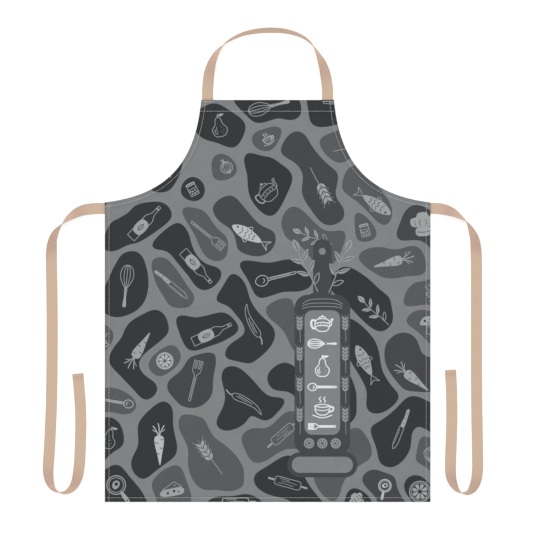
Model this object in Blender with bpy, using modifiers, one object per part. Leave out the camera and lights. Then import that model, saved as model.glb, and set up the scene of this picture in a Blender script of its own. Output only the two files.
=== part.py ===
"""Bib apron laid out flat with its printed face up.

One cloth panel has its edges folded under as hems. A neck strap and two waist ties of woven
tape have their ends tucked behind it. Metres, +Z up. The floor is z = 0, the neck is towards +Y,
and the origin lies on the centre line at the waist, under the cloth.
"""

import math
from collections import namedtuple

import bmesh
import bpy
from mathutils import Vector

# Cloth panel: a straight skirt from the bottom hem to the waist, and above it a bib
# between two armhole curves.
WAIST_WIDTH = 0.586
SKIRT_LENGTH = 0.539
BIB_WIDTH = 0.239
BIB_HEIGHT = 0.1845
CLOTH = 0.001

# Each armhole is one curve with two handles. The first handle is counted from the bib's corner
# outwards and down, the second from the waist corner inwards and up, both in shares of the
# armhole's breadth and of the bib's height.
Handle = namedtuple("Handle", "across along")
BIB_HANDLE = Handle(0.066, 0.68)
WAIST_HANDLE = Handle(0.58, 0.07)

# Hems: the border is folded under once, deeper along the bib's top than along the other edges.
TOP_HEM = 0.0205
EDGE_HEM = 0.008
HEM_GAP = 0.0003
# Inside a hem the single cloth stays up for a short step and then eases down to the floor.
HEM_STEP = 0.001
HEM_EASE = 0.007

# Tape of the neck strap and the ties.
TAPE_WIDTH = 0.020
TAPE = 0.0012
TAPE_GAP = 0.0003

# The neck strap's two ends lie just inside the bib's corners, behind the top hem.
NECK_CORNER_INSET = 0.0016
NECK_TUCK = 0.019
NECK_RISE = 0.125

# Each tie leaves a side edge just under the waist corner, runs down, turns and comes back up.
TIE_CORNER_INSET = 0.0005
TIE_TUCK = 0.020
LEFT_TIE_REACH = 0.096
RIGHT_TIE_REACH = 0.083
TIE_DROP = 0.511
TIE_END_HEM = 0.0064
TIE_END_EASE = 0.010

# How far beyond a tucked tape the cloth over it is still raised.
SEAT_MARGIN = 0.0006
SEAT_EASE = 0.008

# Mesh steps.
CELL = 0.037
ARMHOLE_STEPS = 15
STRIP_COUNT = 2
SHORTEST_STEP = 0.0004
LONGEST_STEP = 0.035
LARGEST_TURN = 12.0

# A tape's route: two shares of the named sizes it follows, and its roll in degrees. It lies flat
# at 0, stands on one edge at 90, lies with its other face up at 180, and stands on its other
# edge at 270.
Stop = namedtuple("Stop", "along_x along_y roll")

# Shares of half the spacing between the strap's ends, and of NECK_RISE.
NECK_ROUTE = (
    Stop(-1.000, 0.000, 0),
    Stop(-1.000, 0.140, 2),
    Stop(-0.990, 0.260, 12),
    Stop(-0.975, 0.375, 22),
    Stop(-0.945, 0.490, 36),
    Stop(-0.895, 0.605, 50),
    Stop(-0.822, 0.710, 68),
    Stop(-0.728, 0.798, 88),
    Stop(-0.602, 0.872, 98),
    Stop(-0.420, 0.942, 106),
    Stop(-0.200, 0.985, 113),
    Stop(0.025, 1.000, 116),
    Stop(0.250, 0.992, 113),
    Stop(0.450, 0.953, 107),
    Stop(0.605, 0.895, 100),
    Stop(0.705, 0.828, 94),
    Stop(0.775, 0.757, 86),
    Stop(0.825, 0.684, 74),
    Stop(0.868, 0.612, 60),
    Stop(0.908, 0.535, 46),
    Stop(0.943, 0.440, 32),
    Stop(0.968, 0.350, 20),
    Stop(0.985, 0.255, 11),
    Stop(1.000, 0.140, 2),
    Stop(1.000, 0.000, 0),
)

# Shares of the tie's reach away from the side edge, and of TIE_DROP downwards.
LEFT_TIE_ROUTE = (
    Stop(0.000, 0.000, 0),
    Stop(0.257, 0.002, 8),
    Stop(0.448, 0.009, 28),
    Stop(0.640, 0.029, 54),
    Stop(0.812, 0.058, 90),
    Stop(0.917, 0.085, 119),
    Stop(0.974, 0.113, 136),
    Stop(0.994, 0.141, 154),
    Stop(1.002, 0.178, 176),
    Stop(0.992, 0.289, 180),
    Stop(0.987, 0.465, 180),
    Stop(1.000, 0.676, 180),
    Stop(1.030, 0.817, 180),
    Stop(1.047, 0.873, 183),
    Stop(1.060, 0.909, 194),
    Stop(1.058, 0.936, 206),
    Stop(1.035, 0.960, 222),
    Stop(0.970, 0.985, 248),
    Stop(0.869, 0.998, 270),
    Stop(0.735, 0.999, 292),
    Stop(0.606, 0.983, 315),
    Stop(0.530, 0.957, 334),
    Stop(0.494, 0.928, 349),
    Stop(0.471, 0.888, 359),
    Stop(0.456, 0.817, 360),
    Stop(0.450, 0.747, 360),
    Stop(0.465, 0.676, 360),
    Stop(0.487, 0.624, 360),
    Stop(0.505, 0.583, 360),
)

RIGHT_TIE_ROUTE = (
    Stop(0.000, 0.000, 0),
    Stop(0.228, 0.002, 10),
    Stop(0.449, 0.012, 38),
    Stop(0.627, 0.028, 66),
    Stop(0.781, 0.048, 90),
    Stop(0.898, 0.083, 122),
    Stop(0.960, 0.112, 141),
    Stop(0.982, 0.140, 156),
    Stop(0.996, 0.176, 177),
    Stop(1.000, 0.288, 180),
    Stop(1.000, 0.464, 180),
    Stop(1.004, 0.675, 180),
    Stop(1.017, 0.816, 180),
    Stop(1.024, 0.879, 182),
    Stop(1.022, 0.920, 188),
    Stop(0.994, 0.956, 200),
    Stop(0.927, 0.983, 222),
    Stop(0.833, 0.998, 248),
    Stop(0.725, 0.999, 270),
    Stop(0.630, 0.994, 290),
    Stop(0.545, 0.982, 311),
    Stop(0.466, 0.957, 333),
    Stop(0.436, 0.928, 349),
    Stop(0.438, 0.886, 359),
    Stop(0.453, 0.816, 360),
    Stop(0.464, 0.745, 360),
    Stop(0.462, 0.675, 360),
    Stop(0.453, 0.622, 360),
    Stop(0.434, 0.570, 360),
)

# Low folds left in the laid cloth. The middle is in shares of half the waist width and of the
# skirt, or of the bib above the waist; the rest are shares of the waist width. The heading is
# in degrees from +X.
Fold = namedtuple("Fold", "x y heading half_length half_breadth height")
FOLDS = (
    Fold(-0.52, -0.62, 96, 0.34, 0.070, 0.0034),
    Fold(0.50, -0.74, 82, 0.30, 0.080, 0.0030),
    Fold(0.06, -0.38, 60, 0.26, 0.075, 0.0026),
    Fold(-0.10, 0.42, 74, 0.20, 0.060, 0.0026),
    Fold(0.72, -0.24, 118, 0.18, 0.060, 0.0024),
)


def ease(share):
    """0 at or below 0, 1 at or above 1, and smooth between them."""
    share = min(1.0, max(0.0, share))
    return share * share * (3 - 2 * share)


def armhole_point(place, inset):
    """A point of the right armhole moved into the cloth: 0 is the bib's corner, 1 the waist's."""
    bib, waist = Vector((BIB_WIDTH / 2, BIB_HEIGHT)), Vector((WAIST_WIDTH / 2, 0))
    breadth = waist.x - bib.x
    handle = bib + Vector((BIB_HANDLE.across * breadth, -BIB_HANDLE.along * BIB_HEIGHT))
    other = waist + Vector((-WAIST_HANDLE.across * breadth, WAIST_HANDLE.along * BIB_HEIGHT))
    rest = 1 - place
    point = rest**3 * bib + 3 * rest**2 * place * handle
    point += 3 * rest * place**2 * other + place**3 * waist
    heading = rest**2 * (handle - bib) + 2 * rest * place * (other - handle)
    heading += place**2 * (waist - other)
    return point + Vector((heading.y, -heading.x)).normalized() * inset


def place_where(passed):
    """The place along the armhole at which passed(place) turns true."""
    low, high = 0.0, 1.0
    for _ in range(40):
        middle = (low + high) / 2
        if passed(middle):
            high = middle
        else:
            low = middle
    return high


def outline(top_inset, edge_inset):
    """The panel's outline moved in, anticlockwise from the lower right corner."""
    top = BIB_HEIGHT - top_inset
    side = WAIST_WIDTH / 2 - edge_inset
    first = place_where(lambda p: armhole_point(p, edge_inset).x >= side)
    last = place_where(lambda p: armhole_point(p, edge_inset).y <= top)
    right = [Vector((side, edge_inset - SKIRT_LENGTH))]
    for step in range(ARMHOLE_STEPS + 1):
        place = first + (last - first) * step / ARMHOLE_STEPS
        right.append(armhole_point(place, edge_inset))
    return right + [Vector((-p.x, p.y)) for p in reversed(right)]


def neck_seat():
    """How far each neck strap end lies from the centre line."""
    return BIB_WIDTH / 2 - NECK_CORNER_INSET - TAPE_WIDTH / 2


def tie_seat():
    """How far the ties' middles lie under the waist."""
    return TIE_CORNER_INSET + TAPE_WIDTH / 2


def seat_lift(x, y):
    """How far the cloth is raised where it lies over the tucked end of a tape.

    It stays up from the tape to the cloth's edge, and comes down on the tape's other sides.
    """
    half = TAPE_WIDTH / 2 + SEAT_MARGIN
    inside_neck = neck_seat() - half - abs(x)
    below_neck = BIB_HEIGHT - NECK_TUCK - SEAT_MARGIN - y
    below_tie = -tie_seat() - half - y
    inside_tie = WAIST_WIDTH / 2 - TIE_TUCK - SEAT_MARGIN - abs(x)
    over_neck = (1 - ease(inside_neck / SEAT_EASE)) * (1 - ease(below_neck / SEAT_EASE))
    over_tie = (1 - ease(below_tie / SEAT_EASE)) * (1 - ease(inside_tie / SEAT_EASE))
    return (TAPE + TAPE_GAP) * max(over_neck, over_tie)


def fold_lift(x, y):
    """The height of the low folds."""
    height = 0.0
    for fold in FOLDS:
        reach = SKIRT_LENGTH if fold.y < 0 else BIB_HEIGHT
        offset = Vector((x - fold.x * WAIST_WIDTH / 2, y - fold.y * reach))
        heading = math.radians(fold.heading)
        along = offset.dot(Vector((math.cos(heading), math.sin(heading))))
        across = offset.dot(Vector((-math.sin(heading), math.cos(heading))))
        along /= fold.half_length * WAIST_WIDTH
        across /= fold.half_breadth * WAIST_WIDTH
        height += fold.height * ease(1 - abs(along)) * ease(1 - abs(across))
    return height


def grid_lines(low, high, seats):
    """Evenly spaced places for the mesh's cuts, with those where a raised seat starts and ends."""
    count = max(1, round((high - low) / CELL))
    even = [low + (high - low) * k / count for k in range(1, count)]
    clear = [e for e in even if all(abs(e - s) > SEAT_EASE / 2 for s in seats)]
    return sorted(clear + list(seats))


def seat_cuts():
    """Cuts along x and along y where the cloth starts to come down beside a seat, and ends."""
    half = TAPE_WIDTH / 2 + SEAT_MARGIN
    inside_neck = neck_seat() - half
    inside_tie = WAIST_WIDTH / 2 - TIE_TUCK - SEAT_MARGIN
    across = [side * (x - out) for side in (-1, 1) for x in (inside_neck, inside_tie)
              for out in (0, SEAT_EASE)]
    below_neck = BIB_HEIGHT - NECK_TUCK - SEAT_MARGIN
    below_tie = -tie_seat() - half
    up = [y - out for y in (below_neck, below_tie) for out in (0, SEAT_EASE)]
    return across, up


def make_panel(collection, material):
    """The cloth panel: cut flat, its border folded under, sliced so that it can bend, laid."""
    lower = CLOTH / 2
    upper = lower + CLOTH + HEM_GAP
    edge = CLOTH / 2
    top_drop = TOP_HEM + HEM_STEP + HEM_EASE
    edge_drop = EDGE_HEM + HEM_STEP + HEM_EASE
    rings = (
        (top_drop, edge_drop, lower),
        (TOP_HEM + HEM_STEP, EDGE_HEM + HEM_STEP, upper),
        (edge, edge, upper),
        (edge, edge, lower),
        (TOP_HEM, EDGE_HEM, lower),
    )
    bm = bmesh.new()
    number = bm.verts.layers.int.new("outline_point")
    top_inset, edge_inset, height = rings[0]
    inner = [bm.verts.new((*p, height)) for p in outline(top_inset, edge_inset)]
    for index, vertex in enumerate(inner):
        vertex[number] = index
    bm.faces.new(inner)
    for top_inset, edge_inset, height in rings[1:]:
        rim = [e for e in bm.edges if e.is_boundary]
        points = outline(top_inset, edge_inset)
        for item in bmesh.ops.extrude_edge_only(bm, edges=rim)["geom"]:
            if isinstance(item, bmesh.types.BMVert):
                item.co = (*points[item[number]], height)

    half = WAIST_WIDTH / 2
    seats_x, seats_y = seat_cuts()
    places_x = grid_lines(-half, half, seats_x)
    places_y = grid_lines(-SKIRT_LENGTH, BIB_HEIGHT, seats_y)
    cuts = [(Vector((x, 0, 0)), Vector((1, 0, 0))) for x in places_x]
    cuts += [(Vector((0, y, 0)), Vector((0, 1, 0))) for y in places_y]
    for point, normal in cuts:
        everything = bm.verts[:] + bm.edges[:] + bm.faces[:]
        bmesh.ops.bisect_plane(bm, geom=everything, plane_co=point, plane_no=normal, dist=2e-5)
    bmesh.ops.remove_doubles(bm, verts=bm.verts[:], dist=SHORTEST_STEP)
    bmesh.ops.triangulate(bm, faces=bm.faces[:])
    for vertex in bm.verts:
        vertex.co.z += seat_lift(vertex.co.x, vertex.co.y) + fold_lift(vertex.co.x, vertex.co.y)
    bm.normal_update()
    mesh = bpy.data.meshes.new("apron_panel")
    bm.to_mesh(mesh)
    bm.free()
    panel = bpy.data.objects.new("apron_panel", mesh)
    finish_cloth(panel, CLOTH, collection, material)
    return panel


def finish_cloth(piece, thickness, collection, material):
    """Gives a laid sheet its thickness, its material and smooth shading."""
    if piece.name not in collection.objects:
        collection.objects.link(piece)
    solidify = piece.modifiers.new("Thickness", "SOLIDIFY")
    solidify.thickness = thickness
    solidify.offset = 0
    solidify.use_even_offset = True
    piece.data.materials.clear()
    piece.data.materials.append(material)
    piece.data.shade_smooth()
    piece.data.set_sharp_from_angle(angle=math.radians(40))


def route_points(stops):
    """Points along a smooth curve through the stops (x, y, roll), closer where it turns."""
    chords = [math.dist(a[:2], b[:2]) for a, b in zip(stops, stops[1:])]
    places = [sum(chords[:k]) for k in range(len(stops))]
    slopes = []
    for k in range(len(stops)):
        before, after = max(0, k - 1), min(len(stops) - 1, k + 1)
        run = places[after] - places[before]
        slopes.append([(b - a) / run for a, b in zip(stops[before], stops[after])])
    points = [stops[0]]
    for k, chord in enumerate(chords):
        roll = abs(stops[k + 1][2] - stops[k][2])
        steps = max(1, math.ceil(chord / LONGEST_STEP), math.ceil(roll / LARGEST_TURN))
        for step in range(1, steps + 1):
            t = step / steps
            start, leave = 2 * t**3 - 3 * t**2 + 1, t**3 - 2 * t**2 + t
            end, arrive = 3 * t**2 - 2 * t**3, t**3 - t**2
            points.append(
                tuple(
                    start * a + end * b + chord * (leave * m + arrive * n)
                    for a, b, m, n in zip(stops[k], stops[k + 1], slopes[k], slopes[k + 1])
                )
            )
    return points


def tape_rows(points, turn):
    """Where each row of the tape's mesh lies: its middle, and the direction across it.

    turn is 1 for a route that turns left and -1 for one that turns right. The edge on the inner
    side of the first bend is the one that lifts, so that the tape stands on its outer edge.
    """
    rows = []
    for k, (x, y, roll) in enumerate(points):
        before, after = points[max(0, k - 1)], points[min(len(points) - 1, k + 1)]
        heading = Vector((after[0] - before[0], after[1] - before[1], 0)).normalized()
        inner = Vector((-heading.y, heading.x, 0)) * turn
        angle = math.radians(roll)
        rise = abs(math.sin(angle)) * TAPE_WIDTH / 2 + abs(math.cos(angle)) * TAPE / 2
        rows.append((Vector((x, y, rise)), inner * math.cos(angle) + Vector((0, 0, math.sin(angle)))))
    return rows


def hemmed_end(rows):
    """Folds the last stretch of a tape under itself, and lifts what lies over the fold."""
    lift = TAPE + HEM_GAP
    end, across = rows[-1]
    heading = (end - rows[-2][0]).normalized()
    fold = end - heading * (lift / 2)
    rise_end = TIE_END_HEM + HEM_STEP
    rise_start = rise_end + TIE_END_EASE
    kept = [r for r in rows if (end - r[0]).length > rise_start + HEM_STEP]
    up = Vector((0, 0, 1))
    return kept + [
        (end - heading * rise_start, across),
        (end - heading * rise_end + up * lift, across),
        (fold + up * lift, across),
        (end + up * lift / 2, across),
        (fold, across),
        (end - heading * TIE_END_HEM, across),
    ]


def make_tape(name, rows, place, collection, material):
    """A length of tape: a flat grid whose rows are laid along the route, and then thickened."""
    bpy.ops.mesh.primitive_grid_add(
        x_subdivisions=STRIP_COUNT, y_subdivisions=len(rows) - 1, size=1
    )
    tape = bpy.context.object
    tape.name = tape.data.name = name
    for vertex in tape.data.vertices:
        middle, across = rows[round((vertex.co.y + 0.5) * (len(rows) - 1))]
        vertex.co = middle + across * (vertex.co.x * TAPE_WIDTH)
    tape.location = place
    for other in list(tape.users_collection):
        other.objects.unlink(tape)
    finish_cloth(tape, TAPE, collection, material)
    return tape


def make_neck_strap(collection, material):
    """One loop of tape from corner to corner of the bib, standing on edge round the top."""
    tuck = -NECK_TUCK / NECK_RISE
    stops = (Stop(-1, tuck, 0), *NECK_ROUTE, Stop(1, tuck, 0))
    stops = [(s.along_x * neck_seat(), s.along_y * NECK_RISE, s.roll) for s in stops]
    rows = tape_rows(route_points(stops), turn=-1)
    place = Vector((0, BIB_HEIGHT, 0))
    return make_tape("neck_strap", rows, place, collection, material)


def make_tie(name, side, reach, route, collection, material):
    """A waist tie on one side, side -1 being the left, with its free end folded and hemmed."""
    stops = (Stop(-TIE_TUCK / reach, 0, 0), *route)
    stops = [(side * s.along_x * reach, -s.along_y * TIE_DROP, s.roll) for s in stops]
    rows = hemmed_end(tape_rows(route_points(stops), turn=-side))
    place = Vector((side * WAIST_WIDTH / 2, -tie_seat(), 0))
    return make_tape(name, rows, place, collection, material)


def make_material(name, colour, roughness):
    """A plain woven-cloth finish."""
    material = bpy.data.materials.new(name)
    material.use_nodes = True
    shader = material.node_tree.nodes["Principled BSDF"]
    shader.inputs["Base Color"].default_value = (*colour, 1)
    shader.inputs["Roughness"].default_value = roughness
    shader.inputs["Metallic"].default_value = 0
    material.diffuse_color = (*colour, 1)
    return material


def main():
    for thing in list(bpy.data.objects):
        bpy.data.objects.remove(thing)
    collection = bpy.data.collections.new("strap_apron")
    bpy.context.scene.collection.children.link(collection)
    root = bpy.data.objects.new("apron_on_floor", None)
    collection.objects.link(root)
    grey_cloth = make_material("grey_twill", (0.13, 0.135, 0.14), 0.85)
    tan_tape = make_material("tan_tape", (0.63, 0.46, 0.34), 0.8)
    left, right = (-1, LEFT_TIE_REACH, LEFT_TIE_ROUTE), (1, RIGHT_TIE_REACH, RIGHT_TIE_ROUTE)
    pieces = (
        make_panel(collection, grey_cloth),
        make_neck_strap(collection, tan_tape),
        make_tie("left_tie", *left, collection, tan_tape),
        make_tie("right_tie", *right, collection, tan_tape),
    )
    for piece in pieces:
        piece.parent = root


main()
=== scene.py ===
"""The dressed bib apron, laid on a pale floor and photographed straight from above."""

import itertools
import math
import random
from collections import namedtuple

import bpy
import numpy as np
from mathutils import Matrix, Vector
from mathutils.bvhtree import BVHTree
from mathutils.geometry import delaunay_2d_cdt


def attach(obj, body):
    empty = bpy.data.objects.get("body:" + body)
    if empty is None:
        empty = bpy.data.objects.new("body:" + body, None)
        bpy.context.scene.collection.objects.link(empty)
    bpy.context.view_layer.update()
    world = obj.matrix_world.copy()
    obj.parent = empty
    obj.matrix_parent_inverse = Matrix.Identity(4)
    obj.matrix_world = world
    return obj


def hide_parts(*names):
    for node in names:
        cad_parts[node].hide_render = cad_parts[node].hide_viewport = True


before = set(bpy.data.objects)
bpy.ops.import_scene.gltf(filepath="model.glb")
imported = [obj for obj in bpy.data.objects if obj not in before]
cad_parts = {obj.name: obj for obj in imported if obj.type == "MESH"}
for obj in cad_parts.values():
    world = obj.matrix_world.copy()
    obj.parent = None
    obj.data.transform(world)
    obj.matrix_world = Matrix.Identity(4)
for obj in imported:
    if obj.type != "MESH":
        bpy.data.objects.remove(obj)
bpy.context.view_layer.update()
scene = bpy.context.scene

# Camera
# The photograph looks straight down on the laid apron from far away, so that nothing in it
# leans. One pixel of its 533 covers 1.8 mm of the floor.

PIXEL = 0.0018
PHOTO_PIXELS = 533
VIEW_CENTRE = Vector((-0.002, -0.1152))
VIEW_HEIGHT = 7.0
SENSOR = 36.0

bpy.ops.object.camera_add(location=(*VIEW_CENTRE, VIEW_HEIGHT), rotation=(0, 0, 0))
camera = bpy.context.object
camera.name = "camera"
camera.data.sensor_width = SENSOR
camera.data.lens = SENSOR * VIEW_HEIGHT / (PIXEL * PHOTO_PIXELS)
camera.data.clip_end = 50
scene.camera = camera

# Floor and light
# A plain pale studio floor, lit so evenly from all round that it washes out to white and the
# cloth shows its own colours. One large soft lamp high over the floor, beyond the camera, leaves
# the tilted parts of the tape a little darker.

FLOOR_SIDE = 12
FLOOR_DROP = 0.0004
FLOOR_GLOW = 0.46
SKY_LIGHT = 0.69
LAMP_PLACE = Vector((-0.6, 2.0, 8.5))
LAMP_AIM = Vector((0, -0.1, 0))
LAMP_SIZE = 5.0
LAMP_POWER = 275


def linear(code):
    """An sRGB hex colour as linear red, green, blue and alpha."""
    shares = [int(code[k:k + 2], 16) / 255 for k in (1, 3, 5)]
    return (*[s / 12.92 if s <= 0.04045 else ((s + 0.055) / 1.055) ** 2.4 for s in shares], 1.0)


def add_node(tree, kind, settings, inputs):
    """Adds a node with its settings. Each input takes a value or another node's output."""
    node = tree.nodes.new(kind)
    for name, value in settings.items():
        setattr(node, name, value)
    for name, value in inputs.items():
        if isinstance(value, bpy.types.NodeSocket):
            tree.links.new(value, node.inputs[name])
        else:
            node.inputs[name].default_value = value
    return node


def new_material(name):
    """An empty material and its node tree, with the shader's own node ready."""
    material = bpy.data.materials.new(name)
    material.use_nodes = True
    return material, material.node_tree, material.node_tree.nodes["Principled BSDF"]


bpy.ops.mesh.primitive_plane_add(size=FLOOR_SIDE, location=(*VIEW_CENTRE, -FLOOR_DROP))
floor = bpy.context.object
floor.name = "studio_floor"
# Matt white paper that glows a little, so that no shadow greys the ground round the apron.
white_paper, tree, shader = new_material("white_paper")
shader.inputs["Base Color"].default_value = linear("#D8D8D8")
shader.inputs["Roughness"].default_value = 0.9
shader.inputs["Emission Color"].default_value = (1, 1, 1, 1)
shader.inputs["Emission Strength"].default_value = FLOOR_GLOW
floor.data.materials.append(white_paper)

world = bpy.data.worlds.new("soft_studio")
world.use_nodes = True
world.node_tree.nodes["Background"].inputs["Color"].default_value = (1, 1, 1, 1)
world.node_tree.nodes["Background"].inputs["Strength"].default_value = SKY_LIGHT
scene.world = world
scene.view_settings.view_transform = "Standard"

bpy.ops.object.light_add(type="AREA", location=LAMP_PLACE)
lamp = bpy.context.object
lamp.name = "soft_lamp"
lamp.data.size = LAMP_SIZE
lamp.data.energy = LAMP_POWER
lamp.rotation_euler = (LAMP_AIM - LAMP_PLACE).to_track_quat("-Z", "Y").to_euler()

# Apron cloth
# The panel is one cut of printed cotton twill, about 1 mm thick as it lies. Its border is folded
# under once and sewn down, deeper along the top of the bib, so it is two layers thick there, and
# on the curved armholes the folded cloth ropes a little.

WAIST_WIDTH = 0.586
SKIRT_LENGTH = 0.539
BIB_WIDTH = 0.239
BIB_HEIGHT = 0.1845
CLOTH = 0.001
BIB_HANDLE = (0.066, 0.68)
WAIST_HANDLE = (0.58, 0.07)
TOP_HEM = 0.0205
EDGE_HEM = 0.008
HEM_GAP = 0.0003
HEM_STEP = 0.001
HEM_EASE = 0.007
TAPE_WIDTH = 0.020
TAPE = 0.0012
TAPE_GAP = 0.0003
NECK_INSET = 0.0016
NECK_SEAT = BIB_WIDTH / 2 - NECK_INSET - TAPE_WIDTH / 2
NECK_TUCK = 0.019
TIE_INSET = 0.0005
TIE_SEAT = TIE_INSET + TAPE_WIDTH / 2
TIE_TUCK = 0.020
SEAT_MARGIN = 0.0006
SEAT_EASE = 0.008

# Steps of the cloth's mesh: from the middle of the bottom edge to its corner, up the side, round
# the armhole and to the middle of the bib's top; and the cells between the hems.
EDGE_STEPS = (98, 180, 190, 40)
CLOTH_CELL = 0.0045
HALVINGS = 40

# The grid inside a filled ring keeps this share of a cell clear of it. Near an edge, which is
# within so many of its lengths, the gap is taken to its line, and else to its nearer end.
GRID_CLEAR = 0.45
EDGE_NEAR = 1.5
SAME_POINT = 1e-7

ROPE_PITCH = 0.0066
ROPE_HEIGHT = 0.00016
PUCKER_PITCH = 0.0093
PUCKER_HEIGHT = 0.00010
STITCH_DIP = 0.00018
ROPE_SLANT = 0.55
# How the pitches of the roping and of the puckers wander: how far, and how often.
ROPE_WANDER = (1.3, 61)
PUCKER_WANDER = (2.0, 37)
# Steps over which the roping fades out at the two ends of an armhole, and a distance from the
# fold beyond which no painted shade falls.
ROPE_FADE = (12, 8)
BEYOND_FOLD_SHADE = 0.05

# Low folds left in the laid cloth: the middle in shares of half the waist width and of the skirt,
# or of the bib above the waist; the heading in degrees; half the length and half the breadth in
# shares of the waist width; and the height in metres.
Fold = namedtuple("Fold", "x y heading half_length half_breadth height")
FOLDS = (
    Fold(-0.52, -0.62, 96, 0.34, 0.070, 0.0034),
    Fold(0.50, -0.74, 82, 0.30, 0.080, 0.0030),
    Fold(0.06, -0.38, 60, 0.26, 0.075, 0.0026),
    Fold(-0.10, 0.42, 74, 0.20, 0.060, 0.0026),
    Fold(0.72, -0.24, 118, 0.18, 0.060, 0.0024),
)


def ease(share):
    """0 at or below 0, 1 at or above 1, and smooth between them."""
    share = min(1.0, max(0.0, share))
    return share * share * (3 - 2 * share)


def armhole_point(place, inset):
    """A point of the right armhole moved into the cloth: 0 is the bib's corner, 1 the waist's."""
    bib, waist = Vector((BIB_WIDTH / 2, BIB_HEIGHT)), Vector((WAIST_WIDTH / 2, 0))
    breadth = waist.x - bib.x
    handle = bib + Vector((BIB_HANDLE[0] * breadth, -BIB_HANDLE[1] * BIB_HEIGHT))
    other = waist + Vector((-WAIST_HANDLE[0] * breadth, WAIST_HANDLE[1] * BIB_HEIGHT))
    rest = 1 - place
    point = rest**3 * bib + 3 * rest**2 * place * handle
    point += 3 * rest * place**2 * other + place**3 * waist
    heading = rest**2 * (handle - bib) + 2 * rest * place * (other - handle)
    heading += place**2 * (waist - other)
    return point + Vector((heading.y, -heading.x)).normalized() * inset


def place_where(passed):
    """The place along the armhole at which passed(place) turns true."""
    low, high = 0.0, 1.0
    for _ in range(HALVINGS):
        middle = (low + high) / 2
        if passed(middle):
            high = middle
        else:
            low = middle
    return high


def outline(top_inset, edge_inset):
    """Points round the panel moved in, anticlockwise from the middle of the bottom edge."""
    top = BIB_HEIGHT - top_inset
    side = WAIST_WIDTH / 2 - edge_inset
    low = edge_inset - SKIRT_LENGTH
    first = place_where(lambda p: armhole_point(p, edge_inset).x >= side)
    last = place_where(lambda p: armhole_point(p, edge_inset).y <= top)
    waist_y = armhole_point(first, edge_inset).y
    bib_x = armhole_point(last, edge_inset).x
    bottom_steps, side_steps, armhole_steps, top_steps = EDGE_STEPS
    right = [Vector((side * k / bottom_steps, low)) for k in range(bottom_steps)]
    right += [Vector((side, low + (waist_y - low) * k / side_steps)) for k in range(side_steps)]
    right += [armhole_point(first + (last - first) * k / armhole_steps, edge_inset)
              for k in range(armhole_steps)]
    right += [Vector((bib_x * (1 - k / top_steps), top)) for k in range(top_steps)]
    return right + [Vector((0, top))] + [Vector((-p.x, p.y)) for p in reversed(right[1:])]


def seat_lift(x, y):
    """How far the cloth is raised where it lies over the tucked end of a tape."""
    half = TAPE_WIDTH / 2 + SEAT_MARGIN
    inside_neck = NECK_SEAT - half - abs(x)
    below_neck = BIB_HEIGHT - NECK_TUCK - SEAT_MARGIN - y
    below_tie = -TIE_SEAT - half - y
    inside_tie = WAIST_WIDTH / 2 - TIE_TUCK - SEAT_MARGIN - abs(x)
    over_neck = (1 - ease(inside_neck / SEAT_EASE)) * (1 - ease(below_neck / SEAT_EASE))
    over_tie = (1 - ease(below_tie / SEAT_EASE)) * (1 - ease(inside_tie / SEAT_EASE))
    return (TAPE + TAPE_GAP) * max(over_neck, over_tie)


def fold_lift(x, y):
    """The height of the low folds."""
    height = 0.0
    for fold in FOLDS:
        reach = SKIRT_LENGTH if fold.y < 0 else BIB_HEIGHT
        offset = Vector((x - fold.x * WAIST_WIDTH / 2, y - fold.y * reach))
        heading = math.radians(fold.heading)
        along = offset.dot(Vector((math.cos(heading), math.sin(heading))))
        across = offset.dot(Vector((-math.sin(heading), math.cos(heading))))
        along /= fold.half_length * WAIST_WIDTH
        across /= fold.half_breadth * WAIST_WIDTH
        height += fold.height * ease(1 - abs(along)) * ease(1 - abs(across))
    return height


def filled(ring, cell):
    """Points and triangles that fill a ring of flat points, with a grid of points inside it."""
    count = len(ring)
    edges = [(k, (k + 1) % count) for k in range(count)]
    xs, ys = np.array([p.x for p in ring]), np.array([p.y for p in ring])
    columns = np.arange(xs.min() + cell / 2, xs.max(), cell)
    lines = np.arange(ys.min() + cell / 2, ys.max(), cell)
    next_x, next_y = np.roll(xs, -1), np.roll(ys, -1)
    length = np.hypot(next_x - xs, next_y - ys)
    inside = []
    for y in lines:
        crossing = (ys <= y) != (next_y <= y)
        hits = np.sort(xs[crossing] + (y - ys[crossing]) / (next_y - ys)[crossing]
                       * (next_x - xs)[crossing])
        for x in columns[np.searchsorted(hits, columns) % 2 == 1]:
            gap = np.abs((next_x - xs) * (ys - y) - (xs - x) * (next_y - ys)) / length
            near = np.minimum(np.hypot(xs - x, ys - y), np.hypot(next_x - x, next_y - y))
            if np.min(np.where(near < length * EDGE_NEAR, gap, near)) > cell * GRID_CLEAR:
                inside.append(Vector((x, y)))
    result = delaunay_2d_cdt(list(ring) + inside, edges, [list(range(count))], 1, SAME_POINT)
    points, triangles = result[0], result[2]
    turned = []
    for a, b, c in triangles:
        area = (points[b] - points[a]).cross(points[c] - points[a])
        turned.append((a, b, c) if area > 0 else (a, c, b))
    return points, turned


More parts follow.
